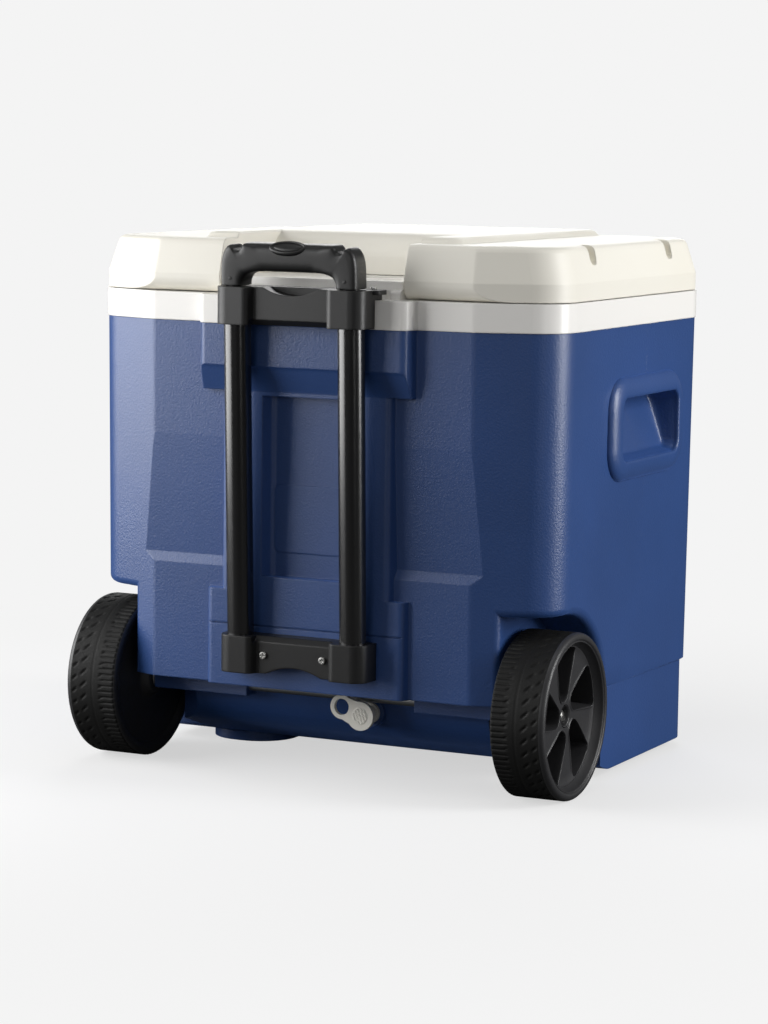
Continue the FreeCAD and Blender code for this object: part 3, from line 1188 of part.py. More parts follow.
def obround(half_long, half_wide):
    corner = "%s - 0.01" % half_wide
    return [("-(%s)" % half_long, "-(%s)" % half_wide, corner), (half_long, "-(%s)" % half_wide, corner),
            (half_long, half_wide, corner), ("-(%s)" % half_long, half_wide, corner)]


def tilted(label, outlines, low, length):
    """Body drawn square to the grip's bevel, whose middle is its origin."""
    body = new_body(label)
    pad(body, label + "_form", "XY_Plane", low, length, *outlines)
    return lean(body, "-grip_half_deep + grip_bevel / 2", "grip_top - grip_bevel / 2", "button_tilt")


def build_grip():
    form = new_body("grip_form")
    pad(form, "grip_outline", "XZ_Plane", "0", "2 * grip_half_deep", [
        ("-tube_x - leg_half", "grip_bottom"), ("-grip_window_half", "grip_bottom"),
        ("-grip_window_half", "grip_bar_bottom", "grip_window_round"),
        ("grip_window_half", "grip_bar_bottom", "grip_window_round"),
        ("grip_window_half", "grip_bottom"), ("tube_x + leg_half", "grip_bottom"),
        ("tube_x + leg_half", "grip_horn", "grip_corner"), ("grip_notch_in", "grip_horn"),
        ("grip_notch_in", "grip_top"), ("-grip_notch_in", "grip_top"), ("-grip_notch_in", "grip_horn"),
        ("-tube_x - leg_half", "grip_horn", "grip_corner")], Midplane=True)
    dress(form, "Fillet", "grip_rounds", "grip_round",
          lambda middle, along: abs(abs(middle.y) - size("grip_half_deep")) < 0.01
          and size("grip_bottom") + 1 < middle.z < size("grip_horn") - 0.5)
    pocket(form, "grip_bevel_cut", "YZ_Plane", "0", "2 * grip_notch_in",
           [("-grip_half_deep", "grip_top - grip_bevel"), ("-grip_half_deep + grip_bevel", "grip_top"),
            ("-grip_half_deep + grip_bevel", "grip_top + 5"), ("-grip_half_deep - 5", "grip_top + 5"),
            ("-grip_half_deep - 5", "grip_top - grip_bevel")], Midplane=True)
    notch = pocket(form, "grip_notch", "XY_Plane", "grip_top + 5", "grip_top + 5 - grip_notch_bottom",
                   [("grip_notch_in", "-grip_half_deep - 5"), ("grip_notch_out", "-grip_half_deep - 5"),
                    ("grip_notch_out", "grip_half_deep + 5"), ("grip_notch_in", "grip_half_deep + 5")])
    mirror(form, "grip_notches", [notch])
    lean(form)
    hollow = new_body("bar_channel")
    room = "bar_half_deep + bar_clear"
    pad(hollow, "channel", "XY_Plane", "bar_low - press_travel - 1", "bar_thick + press_travel + 1 + bar_clear",
        [("-tube_x - 4", "-(%s)" % room), ("tube_x + 4", "-(%s)" % room),
         ("tube_x + 4", "grip_split"), ("-tube_x - 4", "grip_split")])
    pad(hollow, "button_room", "XY_Plane", "bar_low", "12",
        [("-button_long - 4", "-(%s)" % room), ("button_long + 4", "-(%s)" % room),
         ("button_long + 4", "grip_split"), ("-button_long - 4", "grip_split")])
    pad(hollow, "spring_well", "XY_Plane", "grip_bar_bottom + spring_seat", "bar_height - bar_drop - spring_seat + 3",
        [("-spring_half - 1", "-spring_half_deep - 0.5"), ("spring_half + 1", "-spring_half_deep - 0.5"),
         ("spring_half + 1", "spring_half_deep + 0.5"), ("-spring_half - 1", "spring_half_deep + 0.5")])
    pad(hollow, "rod_passages", "XY_Plane", "grip_bottom + 5", "bar_low - grip_bottom - 5",
        ("tube_x", "0", "rod_radius + 1"), ("-tube_x", "0", "rod_radius + 1"))
    lean(hollow)
    slot = tilted("button_slot", [obround("button_long + button_clear", "button_short + button_clear")], "-10", "14")
    tools = fuse_all("grip_tools", [
        hollow, slot, tube_bores("grip_tube_bores", "top_tube_radius", "grip_bottom - 5", "top_tube_high"),
        rivet_form("grip_rivet_bores")])
    half = new_body("grip_front_half")
    pad(half, "front_half", "XY_Plane", "grip_bottom - 10", "60",
        [("-80", "grip_split"), ("80", "grip_split"), ("80", "40"), ("-80", "40")])
    lean(half)
    rear = combine("Cut", "grip_rear_form", form, half)
    keep(combine("Cut", "grip_shell", rear, tools))
    front = combine("Common", "grip_front_form", form, half)
    keep(combine("Cut", "grip_cover", front, tools))
    keep(rivet_form("grip_rivets"))
    stem = "(bevel_depth - bar_thick - bar_low - 0.3 - stem_radius * sin(button_tilt)) / cos(button_tilt)"
    button = tilted("release_button", [obround("button_long", "button_short")],
                    "button_stand - button_body", "button_body")
    pad(button, "button_stem", "XY_Plane", "0 - %s" % stem, "%s - 1" % stem, ("0", "0", "stem_radius"))
    keep(button)
    keep(build_spring())


def build_spring():
    """Bowed leaf under the release bar, drawn upright on the handle's axis."""
    leaf = new_body("release_spring")
    low, high = "grip_bar_bottom + spring_seat", "bar_low"
    pad(leaf, "leaf", "XZ_Plane", "0", "2 * spring_half_deep", [
        ("-spring_half", low), ("-spring_half + 1.5 * spring_leaf", low),
        ("0", high + " - spring_leaf", "spring_bow - spring_leaf"), ("spring_half - 1.5 * spring_leaf", low),
        ("spring_half", low), ("0", high, "spring_bow")], Midplane=True)
    return lean(leaf)


def export():
    doc.recompute()
    for item in doc.Objects:
        if "Invalid" in item.State or "Error" in item.State:
            raise RuntimeError(item.Label + " did not compute")
    os.makedirs("parts", exist_ok=True)
    for name, item in PARTS.items():
        if item.Shape.isNull() or not item.Shape.isValid() or not item.Shape.Solids:
            raise RuntimeError(name + " is not a valid solid")
        item.Shape.exportStep("parts/%s.step" % name)
        print(name, len(item.Shape.Solids), round(item.Shape.Volume / 1000, 1))


build_tub()
build_drain()
build_axle()
build_wheels()
build_lid()
build_brackets()
build_handle()
build_grip()
export()
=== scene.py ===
import json
import math
import bmesh
import bpy
import numpy as np
from mathutils import Matrix, Vector


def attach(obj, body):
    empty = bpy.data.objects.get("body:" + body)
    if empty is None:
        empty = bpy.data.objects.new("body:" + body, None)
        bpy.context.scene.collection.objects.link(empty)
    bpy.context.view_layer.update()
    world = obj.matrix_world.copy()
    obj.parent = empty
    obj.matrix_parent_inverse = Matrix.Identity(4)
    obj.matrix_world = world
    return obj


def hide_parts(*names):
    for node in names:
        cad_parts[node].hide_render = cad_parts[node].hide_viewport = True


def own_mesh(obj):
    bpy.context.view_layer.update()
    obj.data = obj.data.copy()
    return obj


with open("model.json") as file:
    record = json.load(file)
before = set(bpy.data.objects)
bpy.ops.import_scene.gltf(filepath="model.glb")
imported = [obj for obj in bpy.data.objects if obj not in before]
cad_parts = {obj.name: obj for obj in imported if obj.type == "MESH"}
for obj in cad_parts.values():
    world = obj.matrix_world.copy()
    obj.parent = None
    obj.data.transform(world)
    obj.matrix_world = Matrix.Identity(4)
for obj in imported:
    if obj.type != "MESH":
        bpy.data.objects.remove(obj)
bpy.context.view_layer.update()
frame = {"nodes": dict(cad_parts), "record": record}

nodes = frame["nodes"]
mm = 0.001


def toLinear(hexColour):
    # each sRGB channel c becomes ((c + 0.055) / 1.055) ^ 2.4, or c / 12.92 where it is dark
    channels = [int(hexColour[first:first + 2], 16) / 255 for first in (1, 3, 5)]
    return [c / 12.92 if c <= 0.04045 else ((c + 0.055) / 1.055) ** 2.4 for c in channels] + [1.0]


def addNode(tree, kind, settings=None, links=None):
    # settings are node attributes, input values or a ramp's (position, value) stops;
    # links are input -> socket
    node = tree.nodes.new(kind)
    for key, value in (settings or {}).items():
        if key == "stops":
            for stop, (position, shade) in zip(node.color_ramp.elements, value):
                stop.position = position
                stop.color = shade if isinstance(shade, list) else (shade, shade, shade, 1)
        elif isinstance(key, int) or key in node.inputs:
            node.inputs[key].default_value = value
        else:
            setattr(node, key, value)
    for key, socket in (links or {}).items():
        tree.links.new(socket, node.inputs[key])
    return node


def newMaterial(name):
    material = bpy.data.materials.new(name)
    material.use_nodes = True
    tree = material.node_tree
    tree.nodes.clear()
    output = tree.nodes.new("ShaderNodeOutputMaterial")
    return material, tree, output


# moulded and rolled edges are round: the normal turns over this radius, or over a finish's own edgeMm
softEdge = {"samples": 4, "edgeMm": 1.8}
reliefMm = 0.2  # height of a finish's fine texture at depth 1

bluePolyethylene = {
    "colour": "#25447a", "colourPale": "#2a4b86", "roughness": (0.34, 0.44),
    "grainMm": 2.0, "grainDepthMm": 0.3, "grainStrength": 0.42, "cloudMm": 150,
    "fineMm": 1.6, "cellDepth": 0.8, "ior": 1.62,
    "sheen": 0.35, "sheenRoughness": 0.4, "sheenTint": "#6d98f0",
    "seamAt": 52, "seamMm": 0.5, "seamDepth": 0.9,
}


def makeBluePolyethylene():
    # injection-moulded HDPE with a leather grain: domed cells with soft valleys break a waxy sheen
    # up into fine mottling; the real cells are about 1 mm, drawn coarser at 2 mm to show
    s = bluePolyethylene
    material, tree, output = newMaterial("bluePolyethylene")
    place = addNode(tree, "ShaderNodeTexCoord").outputs["Object"]
    cells = addNode(tree, "ShaderNodeTexVoronoi",
                    {"feature": "SMOOTH_F1", "Scale": 1 / (s["grainMm"] * mm), "Smoothness": 0.5},
                    {"Vector": place})
    fine = addNode(tree, "ShaderNodeTexNoise",
                   {"Scale": 1 / (s["fineMm"] * mm), "Detail": 3.0, "Roughness": 0.6},
                   {"Vector": place})
    grain = addNode(tree, "ShaderNodeMath", {"operation": "MULTIPLY_ADD", 1: s["cellDepth"]},
                    {0: cells.outputs["Distance"], 2: fine.outputs["Fac"]})
    cloud = addNode(tree, "ShaderNodeTexNoise", {"Scale": 1 / (s["cloudMm"] * mm), "Detail": 3.0},
                    {"Vector": place})
    colour = addNode(tree, "ShaderNodeValToRGB",
                     {"stops": [(0.3, toLinear(s["colour"])), (0.75, toLinear(s["colourPale"]))]},
                     {"Fac": cloud.outputs["Fac"]})
    gloss = addNode(tree, "ShaderNodeValToRGB",
                    {"stops": [(0.3, s["roughness"][0]), (0.75, s["roughness"][1])]},
                    {"Fac": fine.outputs["Fac"]})
    # the mould's two halves meet in a thin line down each side
    seamPlace = addNode(tree, "ShaderNodeSeparateXYZ", links={"Vector": place})
    onSeam = addNode(tree, "ShaderNodeMath",
                     {"operation": "COMPARE", 1: s["seamAt"] * mm, 2: s["seamMm"] * mm},
                     {0: seamPlace.outputs["Y"]})
    relief = addNode(tree, "ShaderNodeMath", {"operation": "MULTIPLY_ADD", 1: s["seamDepth"]},
                     {0: onSeam.outputs["Value"], 2: grain.outputs["Value"]})
    rounded = addNode(tree, "ShaderNodeBevel",
                      {"samples": softEdge["samples"], "Radius": softEdge["edgeMm"] * mm})
    bump = addNode(tree, "ShaderNodeBump",
                   {"Strength": s["grainStrength"], "Distance": s["grainDepthMm"] * mm},
                   {"Height": relief.outputs["Value"], "Normal": rounded.outputs["Normal"]})
    shader = addNode(tree, "ShaderNodeBsdfPrincipled",
                     {"IOR": s["ior"], "Sheen Weight": s["sheen"],
                      "Sheen Roughness": s["sheenRoughness"], "Sheen Tint": toLinear(s["sheenTint"])},
                     {"Base Color": colour.outputs["Color"], "Roughness": gloss.outputs["Color"],
                      "Normal": bump.outputs["Normal"]})
    tree.links.new(shader.outputs["BSDF"], output.inputs["Surface"])
    return material


def makeFinish(name, s):
    # an even colour with faint clouding and a fine texture left by the mould, the brush or the spray
    material, tree, output = newMaterial(name)
    place = addNode(tree, "ShaderNodeTexCoord").outputs["Object"]
    cloud = addNode(tree, "ShaderNodeTexNoise", {"Scale": 1 / (s["cloudMm"] * mm), "Detail": 3.0},
                    {"Vector": place})
    fine = addNode(tree, "ShaderNodeTexNoise", {"Scale": 1 / (s["grainMm"] * mm), "Detail": 2.0},
                   {"Vector": place})
    colour = addNode(tree, "ShaderNodeValToRGB",
                     {"stops": [(0.3, toLinear(s["colour"])), (0.75, toLinear(s["colourPale"]))]},
                     {"Fac": cloud.outputs["Fac"]})
    gloss = addNode(tree, "ShaderNodeValToRGB",
                    {"stops": [(0.25, s["roughness"][0]), (0.8, s["roughness"][1])]},
                    {"Fac": fine.outputs["Fac"]})
    edgeMm = s.get("edgeMm", softEdge["edgeMm"])
    rounded = addNode(tree, "ShaderNodeBevel", {"samples": softEdge["samples"], "Radius": edgeMm * mm})
    bump = addNode(tree, "ShaderNodeBump", {"Strength": s["depth"], "Distance": reliefMm * mm},
                   {"Height": fine.outputs["Fac"], "Normal": rounded.outputs["Normal"]})
    kind = {"Metallic": 1.0} if s.get("metal") else {"IOR": s["ior"]}
    shader = addNode(tree, "ShaderNodeBsdfPrincipled", kind,
                     {"Base Color": colour.outputs["Color"], "Roughness": gloss.outputs["Color"],
                      "Normal": bump.outputs["Normal"]})
    tree.links.new(shader.outputs["BSDF"], output.inputs["Surface"])
    return material


finishes = {
    # smooth gloss-moulded polypropylene rim: bright, with crisp highlights on its round corners
    "glossyWhitePolypropylene": {"colour": "#f7f5f1", "colourPale": "#faf8f4", "roughness": (0.25, 0.28),
                                 "grainMm": 70, "depth": 0.1, "cloudMm": 200, "ior": 1.49},
    # blow-moulded HDPE lid: a cream white with a satin, slightly waxy skin
    "creamPolyethylene": {"colour": "#efebdf", "colourPale": "#f2efe5", "roughness": (0.42, 0.54),
                          "grainMm": 2.2, "depth": 0.1, "cloudMm": 200, "ior": 1.54},
    # glass-filled nylon brackets and grip: deep black with a fine satin spark texture
    "blackNylon": {"colour": "#101011", "colourPale": "#151515", "roughness": (0.36, 0.48),
                   "grainMm": 1.6, "depth": 0.16, "cloudMm": 60, "ior": 1.53},
    # powder-coated aluminium tube: satin black that draws long soft highlights
    "blackPowderCoat": {"colour": "#08080a", "colourPale": "#0b0b0c", "roughness": (0.2, 0.27),
                        "grainMm": 1.2, "depth": 0.06, "cloudMm": 80, "ior": 1.8},
    # blow-moulded wheel: dull grey-black polyethylene
    "wheelPolyethylene": {"colour": "#29292b", "colourPale": "#303032", "roughness": (0.38, 0.5),
                          "grainMm": 1.8, "depth": 0.22, "cloudMm": 60, "ior": 1.54, "edgeMm": 0.5},
    # the same polyethylene where it runs: rougher and without gloss; its darker colour is painted shade,
    # since the tread faces away from the lamps
    "treadPolyethylenePaintedShade": {"colour": "#0d0d0d", "colourPale": "#131312", "roughness": (0.55, 0.75),
                          "grainMm": 1.4, "depth": 0.5, "cloudMm": 25, "ior": 1.33, "edgeMm": 0.3},
    # soft vinyl drain cap: warm off-white, almost without gloss
    "offWhiteVinyl": {"colour": "#efece2", "colourPale": "#f3f0e7", "roughness": (0.45, 0.55),
                      "grainMm": 1.4, "depth": 0.12, "cloudMm": 30, "ior": 1.5, "edgeMm": 0.4},
    # sprayed polyurethane foam: pale yellow, open and matt
    "polyurethaneFoam": {"colour": "#e3d6ac", "colourPale": "#ecdfb8", "roughness": (0.85, 0.95),
                         "grainMm": 2.5, "depth": 0.6, "cloudMm": 60, "ior": 1.45},
    # moulded rubber washer: matt black
    "blackRubber": {"colour": "#101010", "colourPale": "#151515", "roughness": (0.6, 0.7),
                    "grainMm": 1.2, "depth": 0.2, "cloudMm": 40, "ior": 1.52},
    # zinc-plated screws, washers and pins: bright, faintly streaked
    "zincPlatedSteel": {"colour": "#c9c9c6", "colourPale": "#d6d5d1", "roughness": (0.22, 0.34),
                        "grainMm": 1.2, "depth": 0.05, "cloudMm": 20, "metal": True},
    # drawn steel axle: grey with a soft lengthwise gleam
    "drawnSteel": {"colour": "#a8aaab", "colourPale": "#b9bbbc", "roughness": (0.3, 0.42),
                   "grainMm": 1.2, "depth": 0.08, "cloudMm": 30, "metal": True},
}


def makeMaterials():
    materials = {name: makeFinish(name, settings) for name, settings in finishes.items()}
    materials["bluePolyethylene"] = makeBluePolyethylene()
    return materials


materialOfSlot = {
    "blue_shell": "bluePolyethylene", "white_liner": "glossyWhitePolypropylene",
    "white_lid": "creamPolyethylene", "foam": "polyurethaneFoam", "black_plastic": "blackNylon",
    "black_tube": "blackPowderCoat", "bright_steel": "zincPlatedSteel", "axle_steel": "drawnSteel",
    "drain_plastic": "offWhiteVinyl", "gasket": "blackRubber", "wheel_plastic": "wheelPolyethylene",
}
finishOfNode = {"grip_rivets": "blackNylon"}  # the rivets are capped in the grip's own black


def dressNodes():
    # every CAD node takes the finish of its slot, or its own
    for part in frame["record"]["subparts"]:
        mesh = nodes[part["node"]].data
        mesh.materials.clear()
        finish = finishOfNode.get(part["node"], materialOfSlot[part["material_slot"]])
        mesh.materials.append(materials[finish])


def catmullRom(p0, p1, p2, p3, t):
    # the smooth curve through four neighbouring points, from p1 to p2, at the shares t of the way
    return 0.5 * (2 * p1 + (p2 - p0) * t + (2 * p0 - 5 * p1 + 4 * p2 - p3) * t ** 2
                  + (3 * p1 - p0 - 3 * p2 + p3) * t ** 3)


def turnProfile(lengths, radii, angle):
    # a profile turned round the axle: points are (along, back to front, up)
    return np.stack([lengths + 0 * angle, radii * np.cos(angle), radii * np.sin(angle)], axis=-1)


def gridFaces(rows, columns, start=0):
    # quads of a grid that closes on itself across its columns
    row, column = np.meshgrid(np.arange(rows - 1), np.arange(columns), indexing="ij")
    following = (column + 1) % columns
    quads = [row * columns + column, row * columns + following,
             (row + 1) * columns + following, (row + 1) * columns + column]
    return start + np.stack([quad.ravel() for quad in quads], axis=-1)


weld = {"doublesMm": 0.004, "sliversMm": 0.002}  # points closer than this become one, shorter edges go


def addPiece(name, points, faces, finish, body, others=None):
    # a closed piece from points in millimetres: doubles merged, faces turned outwards, shaded smooth;
    # others gives another finish to a run of faces
    mesh = bpy.data.meshes.new(name)
    mesh.from_pydata((points * mm).tolist(), [], faces.tolist())
    mesh.materials.append(materials[finish])
    slots = np.zeros(len(faces), dtype=np.int32)
    for number, (other, (first, last)) in enumerate((others or {}).items()):
        mesh.materials.append(materials[other])
        slots[first:last] = number + 1
    mesh.polygons.foreach_set("material_index", slots)
    form = bmesh.new()
    form.from_mesh(mesh)
    bmesh.ops.remove_doubles(form, verts=form.verts, dist=weld["doublesMm"] * mm)
    bmesh.ops.dissolve_degenerate(form, edges=form.edges, dist=weld["sliversMm"] * mm)
    bmesh.ops.recalc_face_normals(form, faces=form.faces)
    form.to_mesh(mesh)
    form.free()
    mesh.shade_smooth()
    piece = bpy.data.objects.new(name, mesh)
    bpy.context.scene.collection.objects.link(piece)
    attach(piece, body)
    return piece


# millimetres and degrees; angles start at the front and turn upwards, seen from outside;
# lengths along the axle start at the wheel's inner face
wheel = {
    "innerFace": 191.7, "centre": (-120.7, 76.0), "radius": 76,
    "steps": 600, "sideSteps": 36, "spokes": 5,
    # tread: from the outer shoulder to the inner one; grooves between lugs, every other one hooked,
    # then a line right round, then two staggered rows of slanted notches
    "tread": (47, 2.2), "treadRows": 40,
    "lugs": 88, "lugGroove": (0.62, 1.3), "lugEnd": 16.5, "lugFade": 2.5, "hookFrom": 12.5,
    "hookSlope": 0.45, "line": (24.5, 0.5, 0.7),
    "notches": 40, "notchRows": ((33.5, 2.8, 0.0), (43.0, 2.0, 0.5)),
    "notchHalf": 1.5, "notchDeep": 1.1, "notchSlant": 0.9,
    # (along, radius) from the rim joint round the tyre's wall, and from the tread to the hub joint
    "outer": ((42.8, 63.7), (43.5, 64.2), (44.8, 65.0), (46.4, 65.9), (48.2, 66.7), (49.8, 67.2),
              (50.8, 67.6), (50.8, 68.0), (50.2, 68.3), (50.2, 68.7), (50.9, 69.1), (51.7, 69.7),
              (52.0, 70.6), (51.9, 72.8), (51.3, 74.0), (50.2, 75.0), (48.6, 75.7)),
    "inner": ((1.2, 75.2), (0.3, 74.0), (0, 72), (0, 66), (3.0, 64.5), (3.6, 62), (3.6, 24), (2.6, 19.5),
              (-2.6, 16.4), (-3.4, 15.6), (-3.6, 14), (-3.6, 6.2), (-3.0, 5.4), (28.6, 5.4), (29.2, 6),
              (29.2, 8.2), (29.8, 8.6), (39.6, 8.8), (40.6, 9.3), (41.0, 10.0)),
    # face: its height and the two circles where it joins the profile; the middle of a spoke is so many
    # steps behind at the hub and at the rim
    "face": 41.0, "rimJoint": 63.7, "hubJoint": 10.6, "spokeLag": (7, 27),
    "dish": {"from": 54, "over": 8.5, "height": 1.6},
    # (angle, radius) round one window: straight side, rim, curved side, then the round end by the hub;
    # corners are the points where a side ends
    "window": ((8, 19), (5, 26), (2.5, 38), (1, 50), (0.4, 59), (1.8, 62.2), (12, 62.7), (22, 62.8),
               (31, 62.7), (39, 62.0), (41, 55), (44.5, 44), (49.5, 33), (55, 25), (56, 19), (47, 15.6),
               (32, 14.4), (17, 15.6)),
    "corners": (0, 5, 9, 14), "between": 24,
    # rings of a face patch: shares of the flat spoke, (distance, share of the height) over the bead,
    # depths and insets down the window's wall, shares of its floor
    "flat": (1.0, 0.8, 0.6, 0.42, 0.26),
    "bead": ((2.6, 0), (2.2, 0.05), (1.8, 0.35), (1.4, 0.8), (1.0, 1.0), (0.55, 0.95), (0.2, 0.55),
             (0, -0.1)),
    "beadHeight": 0.9, "beadRoom": 0.8, "beadFade": {"from": 62, "over": 8},
    "wallDepths": (0.6, 2.0, 5, 10, 16, 22, 28, 32.6, 33.6, 34.0),
    "wallInsets": (0.12, 0.3, 0.6, 1.1, 1.7, 2.3, 2.9, 3.4, 4.2, 5.4),
    "floor": (0.96, 0.9, 0.7, 0.4, 0.15, 0.0),
}


def tyreRings(s):
    # a closed profile turned round the axle; each groove is a depth exp(-(distance / half width) ^ 4)
    # taken off the radius
    angle = np.arange(s["steps"]) * 2 * np.pi / s["steps"]
    along = np.linspace(*s["tread"], s["treadRows"])[:, None]
    arc = angle * s["radius"]
    lugStep, notchStep = (2 * np.pi * s["radius"] / s[key] for key in ("lugs", "notches"))
    hooked = np.floor(arc / lugStep) % 2
    hook = hooked * np.maximum(along - s["hookFrom"], 0) * s["hookSlope"]
    fromLug = (arc + hook + lugStep / 2) % lugStep - lugStep / 2
    within = 1 / (1 + np.exp((along - s["lugEnd"]) * s["lugFade"]))
    half, deep = s["lugGroove"]
    groove = deep * np.exp(-(fromLug / half) ** 4) * within
    middle, half, deep = s["line"]
    groove = groove + deep * np.exp(-((along - middle) / half) ** 4)
    for middle, reach, shift in s["notchRows"]:
        slant = (along - middle) * s["notchSlant"]
        fromNotch = (arc + slant + (0.5 + shift) * notchStep) % notchStep - notchStep / 2
        notch = np.exp(-(fromNotch / s["notchHalf"]) ** 4 - ((along - middle) / reach) ** 4)
        groove = groove + s["notchDeep"] * notch
    outer, inner = np.array(s["outer"]), np.array(s["inner"])
    profile = np.vstack([outer, np.c_[along, s["radius"] + 0 * along], inner])
    radii = np.repeat(profile[:, 1:], s["steps"], axis=1)
    tread = slice(len(outer), len(outer) + len(along))
    radii[tread] -= groove
    return turnProfile(profile[:, :1], radii, angle), tread


def windowOutline(s):
    # a closed smooth curve, cut at its four corners and spread evenly by length between them
    points = np.array([(r * np.cos(np.radians(a)), r * np.sin(np.radians(a))) for a, r in s["window"]])
    t = np.linspace(0, 1, s["between"], endpoint=False)[None, :, None]
    curve = catmullRom(*(np.roll(points, shift, axis=0)[:, None, :] for shift in (1, 0, -1, -2)), t)
    curve = curve.reshape(-1, 2)
    marks = [s["between"] * corner for corner in s["corners"]] + [len(curve)]
    sector = s["steps"] // s["spokes"]
    sides = []
    for start, end, count in zip(marks[:-1], marks[1:], (s["sideSteps"], sector) * 2):
        run = curve[np.arange(start, end + 1) % len(curve)]
        travel = np.r_[0, np.cumsum(np.hypot(*np.diff(run, axis=0).T))]
        even = np.linspace(0, travel[-1], count, endpoint=False)
        sides.append(np.c_[np.interp(even, travel, run[:, 0]), np.interp(even, travel, run[:, 1])])
    return np.vstack(sides)


def sectorEdge(s):
    # out along one spoke's middle line, round the rim joint, back along the next spoke's and round
    # the hub joint
    sector = s["steps"] // s["spokes"]
    out = np.linspace(0, 1, s["sideSteps"], endpoint=False)
    turn = np.arange(sector)
    share = np.r_[out, np.ones(sector), 1 - out, np.zeros(sector)]
    forward = np.r_[0 * out, turn, sector + 0 * out, sector - turn]
    hubLag, rimLag = s["spokeLag"]
    radius = s["hubJoint"] + (s["rimJoint"] - s["hubJoint"]) * share
    angle = (forward - hubLag - (rimLag - hubLag) * share) * 2 * np.pi / s["steps"]
    return np.c_[radius * np.cos(angle), radius * np.sin(angle)]


def windowPatch(s):
    # rings that run from the sector's edge over the spoke and the window's bead, down its wall and
    # over its floor: points are (along, front, up) like the tyre's
    outline, edge = windowOutline(s), sectorEdge(s)
    gap = np.hypot(*(edge - outline).T)[:, None]
    toward = (edge - outline) / gap
    tangent = np.roll(outline, -1, axis=0) - np.roll(outline, 1, axis=0)
    inward = np.c_[-tangent[:, 1], tangent[:, 0]] / np.hypot(*tangent.T)[:, None]
    middle = outline.mean(axis=0)
    inward = inward * np.sign(((middle - outline) * inward).sum(axis=1).mean())
    beadFade = np.clip((s["beadFade"]["from"] - np.hypot(*outline.T)) / s["beadFade"]["over"], 0, 1)
    foot = s["bead"][0][0]
    rings = [outline + toward * (foot + (gap - foot) * share) for share in s["flat"]]
    heights = [0 * beadFade] * len(rings)
    for distance, up in s["bead"]:
        rings.append(outline + toward * np.minimum(distance, gap * s["beadRoom"]))
        heights.append(s["beadHeight"] * up * beadFade)
    rings, heights = np.array(rings), np.array(heights)
    dish = s["dish"]
    dishShare = np.clip((np.hypot(rings[..., 0], rings[..., 1]) - dish["from"]) / dish["over"], 0, 1)
    dished = s["face"] + dish["height"] * dishShare ** 2
    face = np.concatenate([(dished + heights)[..., None], rings], axis=-1)
    depths, insets, shares = (np.array(s[key])[:, None, None]
                              for key in ("wallDepths", "wallInsets", "floor"))
    walls = outline + inward * insets
    wall = np.concatenate([dished[-1][:, None] - depths, walls], axis=-1)
    floors = middle + (walls[-1] - middle) * shares
    floor = np.concatenate([wall[-1, :, :1] + 0 * shares, floors], axis=-1)
    return np.concatenate([face, wall, floor])


def makeWheelMeshes():
    # the turned tyre and one face patch per sector, joined where their edges meet
    s = wheel
    tyre, tread = tyreRings(s)
    treadFaces = (tread.start * s["steps"], tread.stop * s["steps"])
    patch = windowPatch(s)
    points, faces = [tyre.reshape(-1, 3)], [gridFaces(*tyre.shape[:2])]
    offset = len(points[0])
    for number in range(s["spokes"]):
        angle = 2 * np.pi * number / s["spokes"]
        front = patch[..., 1] * np.cos(angle) - patch[..., 2] * np.sin(angle)
        up = patch[..., 1] * np.sin(angle) + patch[..., 2] * np.cos(angle)
        points.append(np.stack([patch[..., 0], front, up], axis=-1).reshape(-1, 3))
        faces.append(gridFaces(*patch.shape[:2], offset))
        offset += len(points[-1])
    points, faces = np.vstack(points), np.vstack(faces)
    y, z = s["centre"]
    for side, name in ((1, "wheel_right"), (-1, "wheel_left")):
        place = np.c_[side * (s["innerFace"] + points[:, 0]), y + side * points[:, 1], z + points[:, 2]]
        # the tread's faces take the darker finish, whose colour is painted shade
        moulded = addPiece(name + "_moulded", place, faces, "wheelPolyethylene", name,
                           {"treadPolyethylenePaintedShade": treadFaces})
        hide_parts(name)


# (along, radius) of the rolled foot, then the dome's start, height and radius
pushNut = {
    "foot": ((29.4, 0), (29.4, 7.4), (30.4, 7.6), (31.0, 7.1), (31.4, 6.5)),
    "dome": (34.5, 4.6, 6.4), "domeSteps": 9, "around": 48,
}


def makePushNuts():
    # push-on nut over each axle end: a domed cap with a rolled foot
    s = pushNut
    start, height, radius = s["dome"]
    bulge = np.linspace(np.pi / 2, 0, s["domeSteps"])
    profile = np.vstack([s["foot"], np.c_[start + height * np.cos(bulge), radius * np.sin(bulge)]])
    turn = np.arange(s["around"]) * 2 * np.pi / s["around"]
    cap = turnProfile(profile[:, :1], profile[:, 1:], turn).reshape(-1, 3)
    y, z = wheel["centre"]
    both = np.vstack([np.c_[side * (wheel["innerFace"] + cap[:, 0]), y + cap[:, 1], z + cap[:, 2]]
                      for side in (1, -1)])
    faces = gridFaces(len(profile), s["around"])
    nuts = addPiece("push_nuts", both, np.vstack([faces, faces + len(cap)]), "zincPlatedSteel", "tub")
    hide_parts("axle_retainers")


